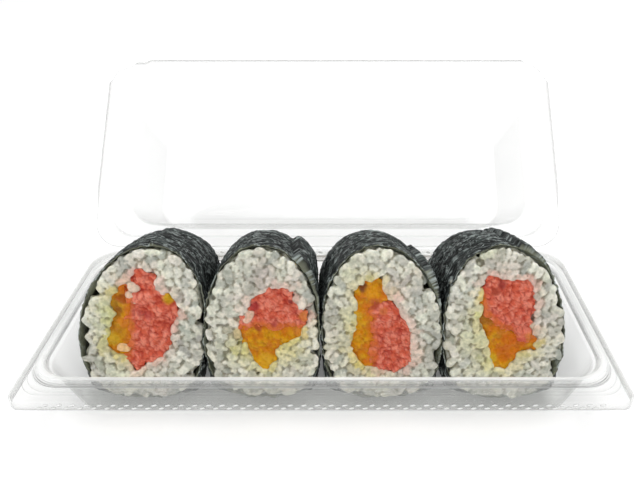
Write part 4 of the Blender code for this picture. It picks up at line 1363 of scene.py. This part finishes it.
def wrap(number):
    """Local points of the sheet's outside and inside, with its wrinkles' heights."""
    dense = outer_outline(number, np.arange(0, 360, 0.5))
    outline = even_outline(dense, WRAP_STEPS)
    half_width = ROLLS[number][1]
    around = np.degrees(np.arctan2((outline[:, 1] - WIDEST_AT) / 32, outline[:, 0] / half_width)) % 360
    ways = grow(outline, 1) - outline
    ways /= np.linalg.norm(ways, axis=1)[:, None]
    length = np.linalg.norm(outline - np.roll(outline, -1, 0), axis=1).sum()
    start, end, rise = FLAPS[number]
    foot = smooth_step((WIDEST_AT - outline[:, 1]) / 8)
    foot = foot * smooth_step(np.abs(outline[:, 0]) / half_width * 4 - 1.2)
    outer = np.empty((WRAP_STATIONS + 1, WRAP_STEPS, 3))
    inner = np.empty_like(outer)
    heights = np.empty((WRAP_STATIONS + 1, WRAP_STEPS))
    arc = np.arange(WRAP_STEPS) / WRAP_STEPS
    for i in range(WRAP_STEPS):
        turn = 2 * math.pi * arc[i]
        cx, cy = math.cos(turn) * length / 6.28, math.sin(turn) * length / 6.28
        front = noise.noise((cx / RAGGED_SCALE, cy / RAGGED_SCALE, number * 9.1))
        front += 0.5 * noise.noise((cx / RAGGED_FINE, cy / RAGGED_FINE, number))
        rear = noise.noise((cx / RAGGED_SCALE, cy / RAGGED_SCALE, number * 9.1 + 40))
        for j in range(WRAP_STATIONS + 1):
            share = j / WRAP_STATIONS
            along = EDGE_BACK + share * (ROLL_LENGTH - 2 * EDGE_BACK)
            along += RAGGED * (front * (1 - share) ** 6 - rear * share ** 6 * 0.8) * 0.7
            warp = noise.noise((cx / WARP_SCALE, cy / WARP_SCALE, along / WARP_SCALE + number * 3))
            sway = noise.noise((cx / SWAY_SCALE, cy / SWAY_SCALE, along / SWAY_SCALE - number * 3))
            lump = noise.noise((cx / LUMP_ROUND, cy / LUMP_ROUND, along / LUMP_ALONG + number * 7))
            bent = along / FOLD_ALONG + warp * 3 + sway * 0.8 + number
            fold = 1 - abs(noise.noise((cx / FOLD_ROUND, cy / FOLD_ROUND, bent))) * 3
            bent = along / CREASE_ALONG - warp * 4 + sway - number * 5
            crease = 1 - abs(noise.noise((cx / CREASE_ROUND, cy / CREASE_ROUND, bent))) * 3
            height = LUMPS * lump + FOLDS * max(fold, 0) ** 2 + CREASES * max(crease, 0) ** 2 - WRINKLE_BASE
            end_here = end + FLAP_WANDER * noise.noise((along / FLAP_SCALE, number * 2.2, 0))
            step = (around[i] - start) / (end_here - start)
            lift = rise * min(max(step * 1.2, 0), 1) ** 1.5 if 0 <= step <= 1 else 0
            bulge = LIFT * math.exp(-((around[i] - LIFT_AT) / LIFT_SPREAD) ** 2)
            for at, spread, push in SHOULDERS[number]:
                off = (around[i] - at + 180) % 360 - 180
                bulge += push * math.exp(-(off / spread) ** 2) * (0.2 + 0.8 * share)
            grown = FOOT_SPREAD * smooth_step((along - 0.6) / 3.0) * foot[i]
            sideways = np.array((math.copysign(half_width, outline[i][0]) - outline[i][0], 0)) * grown
            out = WRINKLE * height + lift + bulge - 0.05
            heights[j, i] = height
            outer[j, i] = (*(outline[i] + ways[i] * out + sideways), along)
            under = max(out - SHEET_THICKNESS - max(lift - 0.1, 0), SHEET_INSIDE)
            deep = smooth_step((min(along, ROLL_LENGTH - along) - 2.0) / 2.0)
            under = under + deep * (SHEET_INSIDE - under)
            inner[j, i] = (*(outline[i] + ways[i] * under), along)
    return outer, inner, heights, arc * length


def seaweed_finish():
    """Moist seaweed: near black, with painted slate sheen on its crests and painted highlight glints on its
    fibres, olive on its inner side.
    """
    material, nodes = new_finish("seaweed")
    tone = nodes.add("ShaderNodeAttribute", {"attribute_name": "tone"}, None, "Color")
    uv = nodes.add("ShaderNodeUVMap", {"uv_map": "wrap"})
    stretched = nodes.add("ShaderNodeMapping", None, {"Vector": uv, "Scale": (0.28, 1.0, 1.0)})
    fibre = nodes.cloud(stretched, 1.2, 4.0, Roughness=0.7, Distortion=1.0)
    fine = nodes.cloud(uv, 3.2, 3.0)
    patch = nodes.spread(nodes.cloud(uv, 0.40, 1.0), *STREAK_PATCH)
    crinkle = nodes.cloud(stretched, 0.42, 2.5, Roughness=0.6, Distortion=1.2)
    off = crinkle - 0.5
    # Painted highlight: thin bright glint lines along the crinkles, in patches.
    streak = nodes.spread(off.math("ABSOLUTE", off), *STREAK_LINE) * patch
    colour = nodes.mix(streak * 0.75, tone, NORI_STREAK)
    raised = nodes.add("ShaderNodeBump", None, {
        "Strength": 1.0, "Distance": 0.0006, "Height": fibre * 0.7 + fine * 0.3 + streak * 0.5,
    })
    surface(nodes, nodes.add("ShaderNodeBsdfPrincipled", None, {
        "Base Color": colour,
        "Roughness": 0.46 - streak * 0.12,
        "Specular IOR Level": 0.30,
        "Normal": raised,
    }))
    return material


nori = seaweed_finish()
for number in ROLLS:
    outer, inner, heights, arc = wrap(number)
    rows, count = heights.shape
    local = np.vstack((outer.reshape(-1, 3), inner.reshape(-1, 3)))
    seaweed = new_object(f"seaweed_{number}", roll_points(number, local), sleeve(rows - 1, count), nori)
    # Painted sheen: the wrinkles' crests are lighter, slate outside and olive inside.
    shown = smooth_step((heights + 0.05) / 0.80)[..., None]
    outside = np.array(NORI_DARK) * (1 - shown) + np.array(NORI_SLATE) * shown
    inside = np.tile(np.array(NORI_OLIVE), (rows, count, 1)) * (0.7 + 0.5 * shown)
    paint(seaweed.data, "tone", np.vstack((outside.reshape(-1, 3), inside.reshape(-1, 3))))
    layer = seaweed.data.uv_layers.new(name="wrap")
    corner = np.empty(len(seaweed.data.loops), int)
    seaweed.data.loops.foreach_get("vertex_index", corner)
    column = corner % count
    flat = np.column_stack((arc[column], local[corner, 2]))
    fours = column.reshape(-1, 4)
    wraps = (fours.max(1) - fours.min(1)) > count // 2
    late = np.repeat(wraps, 4) & (column == 0)
    flat[late, 0] += arc[-1] + arc[1]
    layer.data.foreach_set("uv", flat.ravel())
    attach(seaweed, "tray")
    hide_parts(f"roll_{number}_seaweed")

bpy.context.view_layer.update()
